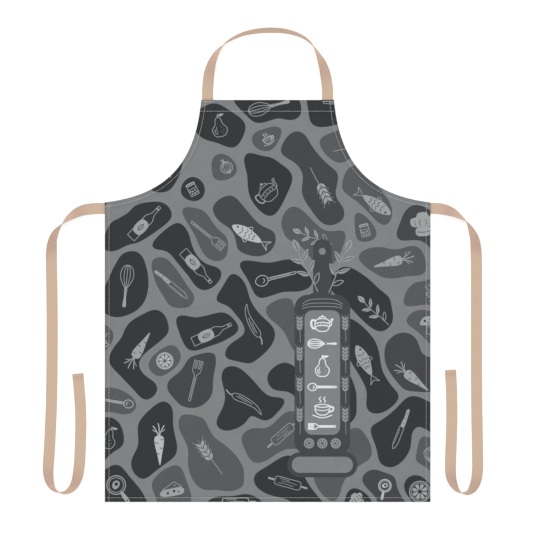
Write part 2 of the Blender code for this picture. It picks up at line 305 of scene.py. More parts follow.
def panel_rings():
    """The folded border, ring by ring outwards, over the fold, and back in under the cloth.

    Each ring is its insets from the top and from the other edges, its height, how much of the
    roping and of the puckers it takes, and whether it lies folded under.
    """
    lower = CLOTH / 2
    upper = lower + CLOTH + HEM_GAP
    rings = []
    for share in (1.0, 0.75, 0.5, 0.25, 0.0):
        beyond = HEM_STEP + HEM_EASE * share
        height = lower + (upper - lower) * (1 - ease(share))
        rope = 0.15 * (1 - share)
        rings.append((TOP_HEM + beyond, EDGE_HEM + beyond, height, rope, 1 - share, False))
    for share, dip, rope, pucker in (
        (0.985, STITCH_DIP, 0.2, 1.0),
        (0.92, 0, 0.5, 0.8),
        (0.78, 0, 0.9, 0.5),
        (0.58, 0, 1.0, 0.2),
        (0.38, 0, 0.9, 0.1),
        (0.2, 0, 0.6, 0),
    ):
        rings.append((TOP_HEM * share, EDGE_HEM * share, upper - dip, rope, pucker, False))
    bend = (upper - lower) / 2
    for angle in (90, 50, 15, -15, -50, -90):
        inset = CLOTH / 2 + bend * (1 - math.cos(math.radians(angle)))
        height = lower + bend * (1 + math.sin(math.radians(angle)))
        rings.append((inset, inset, height, 0.25 * (angle > 0), 0, angle < 0))
    for share in (0.45, 0.9, 1.0):
        rings.append((TOP_HEM * share, EDGE_HEM * share, lower, 0, 0, True))
    return rings


edge_points = outline(0, 0)
edge_count = len(edge_points)
steps = [(b - a).length for a, b in zip(edge_points, edge_points[1:])]
along_edge = [sum(steps[:k]) for k in range(edge_count)]
armhole_start = EDGE_STEPS[0] + EDGE_STEPS[1]
armhole_end = armhole_start + EDGE_STEPS[2]


def armhole_share(index):
    """1 on the armholes, 0 on the straight edges, and smooth between them."""
    index = min(index, edge_count - index)
    at_waist, at_bib = (index - armhole_start) / ROPE_FADE[0], (armhole_end - index) / ROPE_FADE[1]
    return ease(at_waist) * ease(at_bib)


def uneven_wave(place, pitch, swing, rate):
    """A wave from -1 to 1 whose pitch wanders a little."""
    return math.sin(math.tau * place / pitch + swing * math.sin(place * rate))


cloth_points = []
cut_points = []
from_fold = []
over_hem = []
for top_inset, edge_inset, height, rope, pucker, under in panel_rings():
    for index, point in enumerate(outline(top_inset, edge_inset)):
        away = (point - edge_points[index]).length
        turn = along_edge[index] + ROPE_SLANT * away
        wave = uneven_wave(turn, ROPE_PITCH, *ROPE_WANDER)
        lift = ROPE_HEIGHT * rope * armhole_share(index) * wave
        lift += PUCKER_HEIGHT * pucker * uneven_wave(turn, PUCKER_PITCH, *PUCKER_WANDER)
        lift += seat_lift(point.x, point.y) + fold_lift(point.x, point.y)
        cloth_points.append((point.x, point.y, height + lift))
        cut = 2 * edge_points[index] - point if under else point
        cut_points.append((cut.x, cut.y, 0))
        from_fold.append(away)
        beyond = max(0, edge_inset - EDGE_HEM) / HEM_EASE
        over_hem.append(min(1, (min(1, edge_inset / EDGE_HEM) + beyond) / 2))

cloth_faces = []
ring_count = len(cloth_points) // edge_count
for ring in range(ring_count - 1):
    for index in range(edge_count):
        after = (index + 1) % edge_count
        inner, outer = ring * edge_count, (ring + 1) * edge_count
        cloth_faces.append((inner + index, outer + index, outer + after, inner + after))

inner_ring = [Vector(p[:2]) for p in cloth_points[:edge_count]]
points, triangles = filled(inner_ring, CLOTH_CELL)
vertex_of = {}
for index, point in enumerate(points):
    if index < edge_count:
        vertex_of[index] = index
        continue
    vertex_of[index] = len(cloth_points)
    height = CLOTH / 2 + seat_lift(point.x, point.y) + fold_lift(point.x, point.y)
    cloth_points.append((point.x, point.y, height))
    cut_points.append((point.x, point.y, 0))
    from_fold.append(BEYOND_FOLD_SHADE)
    over_hem.append(1)
cloth_faces += [tuple(vertex_of[k] for k in triangle) for triangle in triangles]

mesh = bpy.data.meshes.new("apron_cloth")
mesh.from_pydata(cloth_points, [], cloth_faces)

# Print
# Rounded camouflage shapes in three greys over a lighter grey ground, printed over the whole
# width of the cloth. Each shape is one, two or three round lobes run together.

PRINT_SEED = 23
PRINT_TRIES = 9000
PRINT_AREA = ((-0.35, 0.35), (-0.60, 0.245))
LOBE_SPACING = 0.054
LOBE_REACH = 0.082
LARGEST_LOBE = 0.046
LOBE_GAP = (-0.010, -0.002)
LOBE_BLEND = 0.026
NECK_BLEND = 0.014
NECK_SLIMMER = 0.002
CHANNEL = 0.0070
CORNER = 0.024
SMOOTHING = 0.008
# How many lobes a shape gets, and in which grey, each drawn by lot from these.
LOBE_LOTS = (1, 2, 2, 2, 3)
TONE_LOTS = ("charcoal", "charcoal", "charcoal", "slate", "pewter", "pewter")

# The printed board of a later section, which is slate grey, so that no slate shape lies by it.
BOARD_PLACE = Vector((0.0985, -0.310))
BOARD_ROOM = Vector((0.105, 0.250))

Lobe = namedtuple("Lobe", "x y radius")
Shape = namedtuple("Shape", "tone lobes links")


def wander(x, y):
    """How the print's shapes are pulled out of round."""
    return (0.006 * np.sin(y * 62 + 1.0) + 0.004 * np.sin(y * 31 + x * 40),
            0.006 * np.sin(x * 57 + 2.0) + 0.004 * np.sin(x * 27 - y * 44))


def lay_out_shapes():
    """Scatters lobes a little apart, joins neighbours into shapes, and gives each shape a tone."""
    random.seed(PRINT_SEED)
    places = []
    for _ in range(PRINT_TRIES):
        place = tuple(random.uniform(*reach) for reach in PRINT_AREA)
        if all(math.dist(place, other) > LOBE_SPACING for other in places):
            places.append(place)
    owner = list(range(len(places)))
    links = []
    order = list(owner)
    random.shuffle(order)
    for first in order:
        wanted = random.choice(LOBE_LOTS)
        if owner.count(owner[first]) > 1:
            continue
        while owner.count(first) < wanted:
            free = [k for k in range(len(places)) if owner.count(owner[k]) == 1 and owner[k] == k
                    and k != first and math.dist(places[k], places[first]) < LOBE_REACH]
            if not free:
                break
            other = random.choice(free)
            owner[other] = first
            links.append((first, other))
    lobes = []
    for k, place in enumerate(places):
        gap = min(math.dist(place, p) for p, o in zip(places, owner) if o != owner[k])
        lobes.append(Lobe(*place, min(LARGEST_LOBE, gap / 2 - random.uniform(*LOBE_GAP))))
    shapes = []
    for first in sorted(set(owner)):
        members = [lobes[k] for k in range(len(places)) if owner[k] == first]
        joined = [(lobes[a], lobes[b]) for a, b in links if owner[a] == first]
        tone = random.choice(TONE_LOTS)
        by_board = any(abs(lobe.x - BOARD_PLACE.x) < BOARD_ROOM.x
                       and abs(lobe.y - BOARD_PLACE.y) < BOARD_ROOM.y for lobe in members)
        if tone == "slate" and by_board:
            tone = "pewter"
        shapes.append(Shape(tone, members, joined))
    return shapes


def joined(a, b, blend):
    """The smaller of two distances, rounded over where they meet."""
    share = np.clip(0.5 + 0.5 * (b - a) / blend, 0, 1)
    return b + (a - b) * share - blend * share * (1 - share)


def lobes_distance(shape, x, y):
    """The distance outside a shape's lobes and the necks between them."""
    distance = None
    for lobe in shape.lobes:
        reach = np.hypot(x - lobe.x, y - lobe.y) - lobe.radius
        distance = reach if distance is None else joined(distance, reach, LOBE_BLEND)
    for a, b in shape.links:
        run = Vector((b.x - a.x, b.y - a.y))
        share = np.clip(((x - a.x) * run.x + (y - a.y) * run.y) / run.length_squared, 0, 1)
        neck = a.radius + (b.radius - a.radius) * share - NECK_SLIMMER
        reach = np.hypot(x - a.x - share * run.x, y - a.y - share * run.y) - neck
        distance = joined(distance, reach, NECK_BLEND)
    return distance


def shape_distances(x, y):
    """For each shape the distance outside its outline, with a channel kept clear between them."""
    pull_x, pull_y = wander(x, y)
    reaches = np.array([lobes_distance(shape, x + pull_x, y + pull_y) for shape in shapes])
    pulls = np.exp(-reaches / SMOOTHING)
    other = -SMOOTHING * np.log(pulls.sum(axis=0) - pulls + 1e-30)
    return -joined(-reaches, (other - reaches - CHANNEL) / 2, CORNER)


def tell(mesh, name, values, kind="FLOAT"):
    """Gives the mesh's points an attribute, which its material reads."""
    attribute = mesh.attributes.new(name, kind, "POINT")
    field = "value" if kind == "FLOAT" else "vector"
    attribute.data.foreach_set(field, np.array(values, dtype=np.float32).ravel())


def gap_between(shape, other):
    """About how far two shapes are apart, from lobe to lobe."""
    return min(math.dist(a[:2], b[:2]) - a.radius - b.radius
               for a in shape.lobes for b in other.lobes)


# The shapes of one grey are spread over three screens, so that the mesh's points between two near
# shapes never have to show both outlines.
SCREENS = 3
TONES = {"pewter": "#56585A", "slate": "#434448", "charcoal": "#313436"}
GROUND = "#7F8183"
UNDYED = "#C9CACA"
PRINT_HIDDEN = 0.82

shapes = lay_out_shapes()
cut = np.array(cut_points)
distances = shape_distances(cut[:, 0], cut[:, 1])
for tone in TONES:
    screens = [[] for _ in range(SCREENS)]
    for shape in (s for s in shapes if s.tone == tone):
        room = [min((gap_between(shape, s) for s in screen), default=1) for screen in screens]
        screens[room.index(max(room))].append(shape)
    for number, screen in enumerate(screens):
        nearest = np.min([distances[shapes.index(shape)] for shape in screen], axis=0)
        tell(mesh, f"{tone}_{number}", nearest)
tell(mesh, "from_fold", from_fold)
tell(mesh, "over_hem", over_hem)
tell(mesh, "cut", cut, "FLOAT_VECTOR")

# Real twill has its ribs 0.6 to 0.8 mm apart, which is too fine to show; they are drawn 1.3 mm
# apart and a tenth of a millimetre deep.
TWILL_PITCH = 0.0013
TWILL_DEPTH = 0.0001
TWILL_STRENGTH = 0.55
YARN_SCALE = 420.0
MOTTLE_SCALE = 38.0
MOTTLE_LIGHT = (0.965, 1.035)
STREAK_SCALE = (900, 110, 900)
STREAK_TURN = (0, 0, 0.785)
STREAK_LIGHT = (0.95, 1.05)
# Painted shade of the hems: darker at the rounded fold, over the doubled border, and along the step
# just inside the stitch rows.
FOLD_SHADE_BREADTH = 0.0022
FOLD_SHADE_LIGHT = 0.80
HEM_PAINTED_SHADE = ((0, 0.96), (0.50, 0.97), (0.56, 0.88), (0.70, 0.97), (1, 1))
OUTLINE_BLUR = 0.0002


def on_mesh(tree, name):
    """The node that reads one of the mesh's attributes."""
    return add_node(tree, "ShaderNodeAttribute", {"attribute_name": name}, {})


def noise(tree, place, scale, detail):
    """A soft noise over the cloth."""
    return add_node(tree, "ShaderNodeTexNoise", {}, {
        "Vector": place, "Scale": scale, "Detail": detail}).outputs["Fac"]


def calculated(tree, operation, *values):
    """What a math node makes of the values."""
    settings = {"operation": operation}
    return add_node(tree, "ShaderNodeMath", settings, dict(enumerate(values))).outputs[0]


def carried(tree, value, taken, given, kind="LINEAR"):
    """A value carried over from one range to another."""
    return add_node(tree, "ShaderNodeMapRange", {"interpolation_type": kind}, {
        "Value": value, "From Min": taken[0], "From Max": taken[1],
        "To Min": given[0], "To Max": given[1]}).outputs[0]


def graded(tree, value, stops):
    """The colour that a value from 0 to 1 has on a ramp of stops."""
    node = add_node(tree, "ShaderNodeValToRGB", {}, {"Fac": value})
    elements = node.color_ramp.elements
    elements[0].color, elements[1].color = stops[0][1], stops[-1][1]
    for place, colour in stops[1:-1]:
        elements.new(place).color = colour
    return node.outputs[0]


def relief(tree, height, strength, depth):
    """The normal of a surface with a fine relief."""
    return add_node(tree, "ShaderNodeBump", {}, {
        "Height": height, "Strength": strength, "Distance": depth}).outputs[0]


def finish(tree, shader, colour, light, normal, sockets):
    """Links a colour, lightened from place to place, and a relief, and sets plain sockets."""
    tinted = add_node(tree, "ShaderNodeHueSaturation", {}, {"Color": colour, "Value": light})
    tree.links.new(tinted.outputs[0], shader.inputs["Base Color"])
    tree.links.new(normal, shader.inputs["Normal"])
    for name, value in sockets.items():
        shader.inputs[name].default_value = value


def twill_relief(tree, strength):
    """The normal of a cloth with fine diagonal ribs and a little unevenness of its yarns."""
    place = on_mesh(tree, "cut").outputs["Vector"]
    ribs = add_node(tree, "ShaderNodeTexWave", {"bands_direction": "DIAGONAL"}, {
        "Vector": place, "Scale": math.tau / (10 * TWILL_PITCH * math.sqrt(2)),
        "Distortion": 0.8, "Detail": 1.0, "Detail Scale": 0.35})
    yarns = noise(tree, place, YARN_SCALE, 2.0)
    height = calculated(tree, "MULTIPLY_ADD", yarns, 0.5, ribs.outputs["Fac"])
    return relief(tree, height, strength, TWILL_DEPTH)


def cloth_shade(tree, hemmed):
    """How light the cloth is from place to place.

    It is mottled and streaked by its yarns. Where it is hemmed it also carries painted shade: a
    little darker over the doubled border, at the rounded fold, and along the step just inside
    the stitches.
    """
    place = on_mesh(tree, "cut").outputs["Vector"]
    stretched = add_node(tree, "ShaderNodeMapping", {}, {
        "Vector": place, "Rotation": STREAK_TURN, "Scale": STREAK_SCALE})
    streak = noise(tree, stretched.outputs["Vector"], 1.0, 1.0)
    shade = carried(tree, noise(tree, place, MOTTLE_SCALE, 3.0), (0.3, 0.7), MOTTLE_LIGHT)
    factors = [carried(tree, streak, (0.25, 0.75), STREAK_LIGHT)]
    # Painted shade of the hems' fold, doubled border and step.
    if hemmed:
        fold, border = (on_mesh(tree, name).outputs["Fac"] for name in ("from_fold", "over_hem"))
        factors += [
            carried(tree, fold, (0.0, FOLD_SHADE_BREADTH), (FOLD_SHADE_LIGHT, 1.0), "SMOOTHSTEP"),
            graded(tree, border, [(place, (light, light, light, 1)) for place, light in HEM_PAINTED_SHADE]),
        ]
    for factor in factors:
        shade = calculated(tree, "MULTIPLY", shade, factor)
    return shade


def print_colour(tree):
    """The ground grey with the three greys of the shapes over it, crisp at their outlines."""
    colour = linear(GROUND)
    for tone, number in itertools.product(TONES, range(SCREENS)):
        distance = on_mesh(tree, f"{tone}_{number}").outputs["Fac"]
        inside = carried(tree, distance, (OUTLINE_BLUR, -OUTLINE_BLUR), (0.0, 1.0))
        mixed = add_node(tree, "ShaderNodeMix", {"data_type": "RGBA"}, {
            0: inside, 6: colour, 7: linear(TONES[tone])})
        colour = mixed.outputs[2]
    return colour


# Printed cotton twill: matt and close, a little sheen from its fibre ends, ink in the surface.
printed_twill, tree, shader = new_material("printed_cotton_twill")
finish(tree, shader, print_colour(tree), cloth_shade(tree, True),
       twill_relief(tree, TWILL_STRENGTH),
       {"Roughness": 0.85, "IOR": 1.47, "Specular IOR Level": 0.25,
        "Sheen Weight": 0.06, "Sheen Roughness": 0.5})

# The reverse of the same twill: undyed, with the print showing faintly through.
twill_reverse, tree, shader = new_material("twill_reverse")
faint = add_node(tree, "ShaderNodeMix", {"data_type": "RGBA"}, {
    0: PRINT_HIDDEN, 6: print_colour(tree), 7: linear(UNDYED)})
finish(tree, shader, faint.outputs[2], cloth_shade(tree, True), twill_relief(tree, 0.7),
       {"Roughness": 0.9, "IOR": 1.47, "Specular IOR Level": 0.25, "Sheen Weight": 0.1})


def new_piece(name, mesh, materials):
    """Puts a mesh in the scene as a piece that rides on the root."""
    piece = bpy.data.objects.new(name, mesh)
    scene.collection.objects.link(piece)
    for material in materials:
        mesh.materials.append(material)
    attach(piece, "root")
    return piece


SHARP_ANGLE = 50
ABOVE_ALL = 0.1


def thicken(piece, thickness, offset, other_side=0):
    """Gives a sheet its thickness, with the material of its other side further down the list."""
    solidify = piece.modifiers.new("Thickness", "SOLIDIFY")
    solidify.thickness = thickness
    solidify.offset = offset
    solidify.use_even_offset = True
    solidify.material_offset = other_side
    solidify.material_offset_rim = other_side
    bpy.ops.object.select_all(action="DESELECT")
    piece.select_set(True)
    bpy.context.view_layer.objects.active = piece
    bpy.ops.object.modifier_apply(modifier=solidify.name)
    piece.data.shade_smooth()
    piece.data.set_sharp_from_angle(angle=math.radians(SHARP_ANGLE))


def ring_area(ring):
    """The area inside a ring of flat points."""
    return abs(sum(a.x * b.y - a.y * b.x for a, b in zip(ring, ring[1:] + ring[:1]))) / 2


apron_cloth = new_piece("apron_cloth", mesh, [printed_twill, twill_reverse])
thicken(apron_cloth, CLOTH, 0, other_side=1)
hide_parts("apron_panel")


def top_finder(piece):
    """A function that gives the height of the piece's upper face, or None beyond its edge."""
    mesh = piece.data
    faces = BVHTree.FromPolygons([v.co for v in mesh.vertices], [p.vertices for p in mesh.polygons])

    def top(x, y):
        hit = faces.ray_cast(Vector((x, y, ABOVE_ALL)), Vector((0, 0, -1)))[0]
        return hit.z if hit else None

    return top


cloth_top = top_finder(apron_cloth)

# Printed drawings
# Line drawings of kitchen things and of what grows in a kitchen garden, printed in pale greys
# inside the camouflage shapes, at all angles. The ink lies on the cloth as a film.

FINE_LINE = 0.0011
INK = 0.00005
INK_SUNK = 0.0004
INK_REACH = 0.0008
INK_STEP = 0.0017
PATCH_CELL = 0.0017
SHORTEST_STEP = 1e-5
INK_EDGE = 2e-5
GRID = 0.005
MARK_RISE = 0.12
DRAWING_SEED = 5
LARGEST_DRAWING = 0.038
LEAST_DRAWING = 0.009
LEAST_DEPTH = 0.003
LEAST_PLACES = 30
DRAWING_MARGIN = 0.002
SLIM_SHAPE = 1.9
SLIM_FILL = 0.85
ROUND_FILL = 0.8
ROUND_LEAN = (-0.6, 0.6)
MORE_LEAN = (-0.3, 0, 0.3)
SIZES_TRIED = (1.0, 0.3, -0.08)
DRAWING_AREA = ((-0.30, 0.30), (-0.545, 0.19))
BOARD_CLEAR = Vector((0.056, 0.215))
DRAWING_LAYER = 2

# A mark is a straight or smooth line, a closed smooth loop, a filled patch or a round dot. A
# vein or a hole is a smooth line or a dot in dark ink on top of a patch. The points fill a frame
# of 1 each way from the middle, and the widths are shares of FINE_LINE.
Mark = namedtuple("Mark", "kind width points")


def pen(kind):
    """A function that makes marks of one kind from their points."""
    return lambda *points, width=1: Mark(kind, width, points)


line, curve, loop, patch, vein = (pen(kind) for kind in ("line", "curve", "loop", "patch", "vein"))


def dots(kind, *places):
    """Marks that are dots or holes, each given by its middle and its radius."""
    return [Mark(kind, 1, ((x, y), (radius, 0))) for x, y, radius in places]


def circle(radius, middle_x=0.0, middle_y=0.0):
    """Twelve points of a circle."""
    turns = [k * math.pi / 6 for k in range(12)]
    return [(middle_x + radius * math.cos(t), middle_y + radius * math.sin(t)) for t in turns]


def mirrored(mark):
    """The same mark on the right and on the left."""
    return mark, mark._replace(points=tuple((-x, y) for x, y in mark.points))


SPOON = (
    loop((0, 1), (.2, .86), (.25, .62), (.12, .42), (-.12, .42), (-.25, .62), (-.2, .86)),
    line((-.06, .4), (-.05, -.92), (0, -1), (.05, -.92), (.06, .4)),
    curve((-.12, .66), (-.02, .56), (.1, .6)),
    curve((0, .3), (.01, -.2), (0, -.7), width=.7),
)
FORK = (
    line((-.05, -.95), (-.05, .3), (-.2, .5), (-.2, 1), (-.12, 1), (-.12, .62), (-.05, .62),
        (-.05, 1), (.05, 1), (.05, .62), (.12, .62), (.12, 1), (.2, 1), (.2, .5), (.05, .3),
        (.05, -.95), (-.05, -.95)),
    line((0, .2), (0, -.8), width=.7),
)
WHISK = (
    loop((0, -.1), (.3, .4), (.24, .85), (0, 1), (-.24, .85), (-.3, .4)),
    loop((0, -.1), (.14, .4), (.11, .85), (0, 1), (-.11, .85), (-.14, .4)),
    line((0, -.1), (0, 1)),
    patch((.07, -.12), (.05, -.5), (.08, -.95), (-.08, -.95), (-.05, -.5), (-.07, -.12)),
    vein((-.05, -.2), (.05, -.2), width=.8),
    vein((-.05, -.28), (.05, -.28), width=.8),
)
KNIFE = (
    line((-.09, -.12), (-.1, .7), (-.02, .95), (.06, 1), (.13, .7), (.13, -.12), (-.09, -.12)),
    patch((-.08, -.16), (.1, -.16), (.08, -.6), (.1, -.95), (-.02, -1), (-.07, -.6)),
    line((.07, .75), (.07, 0), width=.7),
    *dots("hole", (.01, -.3, .025), (.01, -.55, .025), (.01, -.8, .025)),
)
ROLLING_PIN = (
    loop((-.19, .55), (0, .62), (.19, .55), (.2, 0), (.19, -.55), (0, -.62), (-.19, -.55),
        (-.2, 0)),
    line((0, .66), (0, .96), width=3),
    line((0, -.66), (0, -.96), width=3),
    curve((-.1, .45), (-.07, .1), (-.1, -.3), width=.7),
    curve((.02, .3), (.05, 0), (.02, -.45), width=.7),
    curve((.12, .42), (.13, .2), (.11, -.05), width=.7),
)
CARROT = (
    patch((0, -1), (.11, -.5), (.23, .12), (.15, .38), (-.15, .38), (-.23, .12), (-.11, -.5)),
    vein((-.21, .1), (-.12, .04), (-.03, .07)),
    vein((.02, -.16), (.09, -.21), (.17, -.18)),
    vein((-.13, -.42), (-.07, -.47), (.01, -.45)),
    vein((.06, .24), (.13, .2), (.2, .22)),
    *mirrored(curve((.03, .42), (.14, .68), (.27, .88), width=1.5)),
    curve((0, .42), (.02, .75), (-.02, 1), width=1.5),
    *mirrored(curve((.08, .58), (.2, .62), (.3, .7))),
)
BAY_SPRIG = (
    curve((.04, -1), (.02, -.4), (-.03, .2), (0, .6)),
    patch((0, .55), (.12, .78), (0, 1), (-.12, .78)),
    patch((0, .2), (.2, .26), (.34, .5), (.14, .42)),
    patch((-.02, .12), (-.2, .16), (-.36, .4), (-.15, .34)),
    patch((.02, -.25), (.22, -.2), (.38, .06), (.16, -.04)),
    patch((.02, -.35), (-.18, -.32), (-.36, -.06), (-.14, -.14)),
    loop((.04, -.7), (.22, -.64), (.34, -.42), (.15, -.5)),
    vein((0, .6), (0, .92), width=.7),
    vein((.04, .24), (.28, .44), width=.7),
    vein((-.06, .16), (-.3, .35), width=.7),
    vein((.06, -.21), (.32, .01), width=.7),
    vein((-.02, -.31), (-.3, -.1), width=.7),
)
WHEAT_EAR = (
    curve((.05, -1), (.04, -.4), (0, .15), (0, .8)),
    *(mark for y in (-.1, .14, .38, .62)
      for mark in mirrored(patch((.02, y), (.17, y + .08), (.2, y + .26), (.06, y + .18)))),
    *(mark for y in (-.1, .14, .38, .62)
      for mark in mirrored(line((.2, y + .26), (.3, y + .42), width=.6))),
    line((0, .8), (0, 1), width=.6),
)
FISH = (
    patch((0, 1), (.2, .72), (.28, .25), (.15, -.35), (0, -.58), (-.15, -.35), (-.28, .25),
        (-.2, .72)),
    line((0, -.58), (.24, -1), (0, -.84), (-.24, -1), (0, -.58)),
    vein((-.2, .55), (0, .46), (.2, .55)),
    *dots("hole", (.08, .74, .05)),
    *(vein((-.22, y), (-.11, y - .1), (0, y), (.11, y - .1), (.22, y), width=.9) for y in (.3, .1)),
    vein((-.14, -.1), (-.07, -.2), (0, -.1), (.07, -.2), (.14, -.1), width=.9),
    *mirrored(curve((.28, .3), (.4, .12), (.24, .05))),
)
CHILLI = (
    loop((.1, .62), (.19, .3), (.12, -.25), (-.06, -.75), (-.32, -1), (-.16, -.6), (-.12, -.1),
        (-.13, .4), (-.05, .6)),
    curve((.02, .62), (.03, .8), (.14, 1), width=2),
    curve((.1, .35), (.05, -.1), (-.04, -.4)),
    curve((.04, .45), (0, .1), (-.04, -.15), width=.7),
)
OIL_BOTTLE = (
    line((-.07, 1), (.07, 1), (.07, .55), (.22, .25), (.22, -1), (-.22, -1), (-.22, .25),
        (-.07, .55), (-.07, 1)),
    line((-.07, .86), (.07, .86), width=2.4),
    patch((-.22, .0), (.22, .0), (.22, -.62), (-.22, -.62)),
    vein((0, -.5), (.09, -.32), (0, -.12), (-.09, -.32), (0, -.5)),
    vein((0, -.48), (0, -.2), width=.7),
)
PEAR = (
    loop((0, .72), (.24, .55), (.34, .1), (.66, -.35), (.45, -.9), (0, -1), (-.45, -.9),
        (-.66, -.35), (-.34, .1), (-.24, .55)),
    curve((0, .74), (.02, .88), (.1, 1), width=1.6),
    patch((.06, .84), (.28, 1), (.6, .92), (.32, .76)),
    curve((-.42, -.3), (-.42, -.58), (-.22, -.78)),
    curve((-.24, -.1), (-.28, -.4), (-.18, -.62), width=.7),
    *dots("dot", (.2, -.2, .03), (.34, -.46, .03), (.1, -.6, .03), (.28, -.74, .03)),
)
MUSHROOM = (
    patch((-.9, .02), (-.76, .52), (-.32, .85), (.32, .85), (.76, .52), (.9, .02), (.4, -.06),
        (-.4, -.06)),
    curve((-.24, -.1), (-.2, -.55), (-.3, -.92), (.3, -.92), (.2, -.55), (.24, -.1)),
    *dots("hole", (-.4, .4, .13), (.22, .58, .12), (.45, .22, .1), (-.05, .2, .08)),
    *(line((x, -.12), (x * .8, -.3), width=.7) for x in (-.14, 0, .14)),
)
TEAPOT = (
    loop((-.5, .35), (0, .45), (.5, .35), (.68, -.1), (.45, -.6), (0, -.7), (-.45, -.6),
        (-.68, -.1)),
    curve((-.3, .42), (-.2, .6), (.2, .6), (.3, .42)),
    *dots("dot", (0, .7, .08)),
    curve((.62, -.25), (.82, -.1), (.85, .25), (1, .38)),
    curve((.64, .1), (.74, .2), (.8, .42), (1, .38)),
    curve((-.6, .25), (-.92, .3), (-1, -.05), (-.85, -.4), (-.58, -.4), width=2),
    curve((-.64, .02), (0, .12), (.64, .02)),
    curve((-.64, -.26), (0, -.16), (.64, -.26)),
    *dots("dot", (-.4, -.06, .05), (-.14, -.06, .05), (.14, -.06, .05), (.4, -.06, .05)),
)
CUP = (
    curve((-.68, .1), (-.6, -.4), (-.28, -.7), (.28, -.7), (.6, -.4), (.68, .1)),
    loop((-.68, .1), (0, .24), (.68, .1), (0, -.04)),
    curve((.66, 0), (.98, -.02), (.92, -.34), (.56, -.45), width=1.6),
    curve((-.9, -.72), (0, -.98), (.9, -.72)),
    curve((-.25, .38), (-.12, .55), (-.28, .72), (-.14, .92)),
    curve((.15, .38), (.28, .55), (.12, .72), (.26, .92)),
    curve((-.62, -.2), (0, -.34), (.62, -.2), width=.8),
)
LEMON_SLICE = (
    loop(*circle(1.0), width=1.6),
    loop(*circle(.84)),
    *(patch(*((r * math.cos(a + k * math.pi / 4), r * math.sin(a + k * math.pi / 4))
              for r, a in ((.16, 0), (.66, -.27), (.74, 0), (.66, .27)))) for k in range(8)),
)
ONION = (
    loop((0, .62), (.5, .38), (.8, -.15), (.5, -.72), (0, -.88), (-.5, -.72), (-.8, -.15),
        (-.5, .38)),
    *mirrored(curve((0, .6), (.32, .1), (.3, -.4), (0, -.86))),
    *mirrored(curve((.06, .56), (.56, .1), (.54, -.38), (.1, -.84), width=.8)),
    curve((0, .56), (0, -.84), width=.8),
    curve((0, .6), (-.06, .8), (-.22, 1), width=1.6),
    curve((0, .6), (.05, .82), (.16, .98), width=1.6),
    curve((-.14, -.9), (0, -1), (.14, -.9)),
)
JAR = (
    line((-.55, .5), (-.62, .35), (-.62, -.9), (.62, -.9), (.62, .35), (.55, .5)),
    patch((-.56, .92), (.56, .92), (.58, .56), (-.58, .56)),
    vein((-.5, .72), (.5, .72), width=.9),
    *dots("dot", (-.32, -.62, .13), (.05, -.66, .13), (.38, -.58, .13), (-.12, -.3, .13),
        (.26, -.22, .13), (-.4, -.2, .13)),
    line((-.62, .1), (.62, .1)),
)
CHEESE = (
    patch((-.95, -.16), (-.9, -.68), (.93, -.53), (.93, .08)),
    line((-.95, -.1), (.25, .66), (.97, .14), (-.95, -.1)),
    *dots("hole", (-.4, -.38, .12), (.2, -.22, .13), (.62, -.3, .08)),
    *dots("dot", (.3, .34, .07)),
)
COOKS_HAT = (
    patch((-.52, -.15), (-.92, .05), (-.9, .5), (-.5, .62), (-.3, .92), (.3, .92), (.5, .62),
        (.9, .5), (.92, .05), (.52, -.15)),
    patch((-.52, -.22), (-.5, -.8), (.5, -.8), (.52, -.22)),
    vein((-.5, -.5), (0, -.57), (.5, -.5)),
    *mirrored(vein((-.2, -.1), (-.26, .15), (-.2, .4))),
    *mirrored(vein((.52, -.05), (.62, .15), (.56, .32), width=.8)),
)
FRYING_PAN = (
    loop(*circle(.6, 0, .38), width=1.6),
    loop(*circle(.47, 0, .38)),
    patch((-.09, -.22), (.09, -.22), (.12, -.95), (-.12, -.95)),
    patch((-.28, .36), (-.12, .6), (.16, .62), (.28, .4), (.1, .2), (-.18, .18)),
    *dots("hole", (.04, .42, .12), (0, -.84, .05)),
)
SLIM_DRAWINGS = (SPOON, FORK, WHISK, KNIFE, ROLLING_PIN, CARROT, BAY_SPRIG, WHEAT_EAR, FISH, CHILLI,
                 OIL_BOTTLE)
ROUND_DRAWINGS = (PEAR, MUSHROOM, TEAPOT, CUP, LEMON_SLICE, ONION, JAR, CHEESE, COOKS_HAT,
                  FRYING_PAN)


def smooth_run(points, closed):
    """A smooth line through the points."""
    count = len(points)
    spans = count if closed else count - 1
    run = []
    for k in range(spans):
        around = [k - 1, k, k + 1, k + 2]
        if closed:
            a, b, c, d = (points[i % count] for i in around)
        else:
            a, b, c, d = (points[min(count - 1, max(0, i))] for i in around)
        for t in (0, 0.25, 0.5, 0.75):
            run.append(0.5 * (2 * b + (c - a) * t + (2 * a - 5 * b + 4 * c - d) * t**2
                              + (3 * b - a - 3 * c + d) * t**3))
    return run if closed else run + [points[-1]]


def in_steps(points, closed):
    """The same line with no step longer than INK_STEP, and none of no length."""
    ends = points[1:] + points[:1] if closed else points[1:]
    run = []
    for a, b in zip(points, ends):
        steps = max(1, math.ceil((b - a).length / INK_STEP))
        if (b - a).length > SHORTEST_STEP:
            run += [a.lerp(b, k / steps) for k in range(steps)]
    return run if closed else run + [points[-1]]


def ribbon(points, width, closed):
    """A flat ribbon of ink along a line: its points and its faces."""
    count = len(points)
    edges = []
    for k, point in enumerate(points):
        before = points[k - 1] if closed or k > 0 else point
        after = points[(k + 1) % count] if closed or k < count - 1 else point
        heading = (after - before).normalized()
        left = Vector((-heading.y, heading.x)) * width / 2
        edges += [point + left, point - left]
    spans = count if closed else count - 1
    faces = []
    for k in range(spans):
        a, b = 2 * k, 2 * ((k + 1) % count)
        faces.append((a, a + 1, b + 1, b))
    return edges, faces


def ink_bed(x, y):
    """The height that ink lies at: that of the highest cloth close by, so none shows through."""
    if cloth_top(x, y) is None:
        return None
    around = [cloth_top(x + side * INK_REACH, y) for side in (-1, 0, 1)]
    around += [cloth_top(x, y + side * INK_REACH) for side in (-1, 1)]
    return max(height for height in around if height is not None)


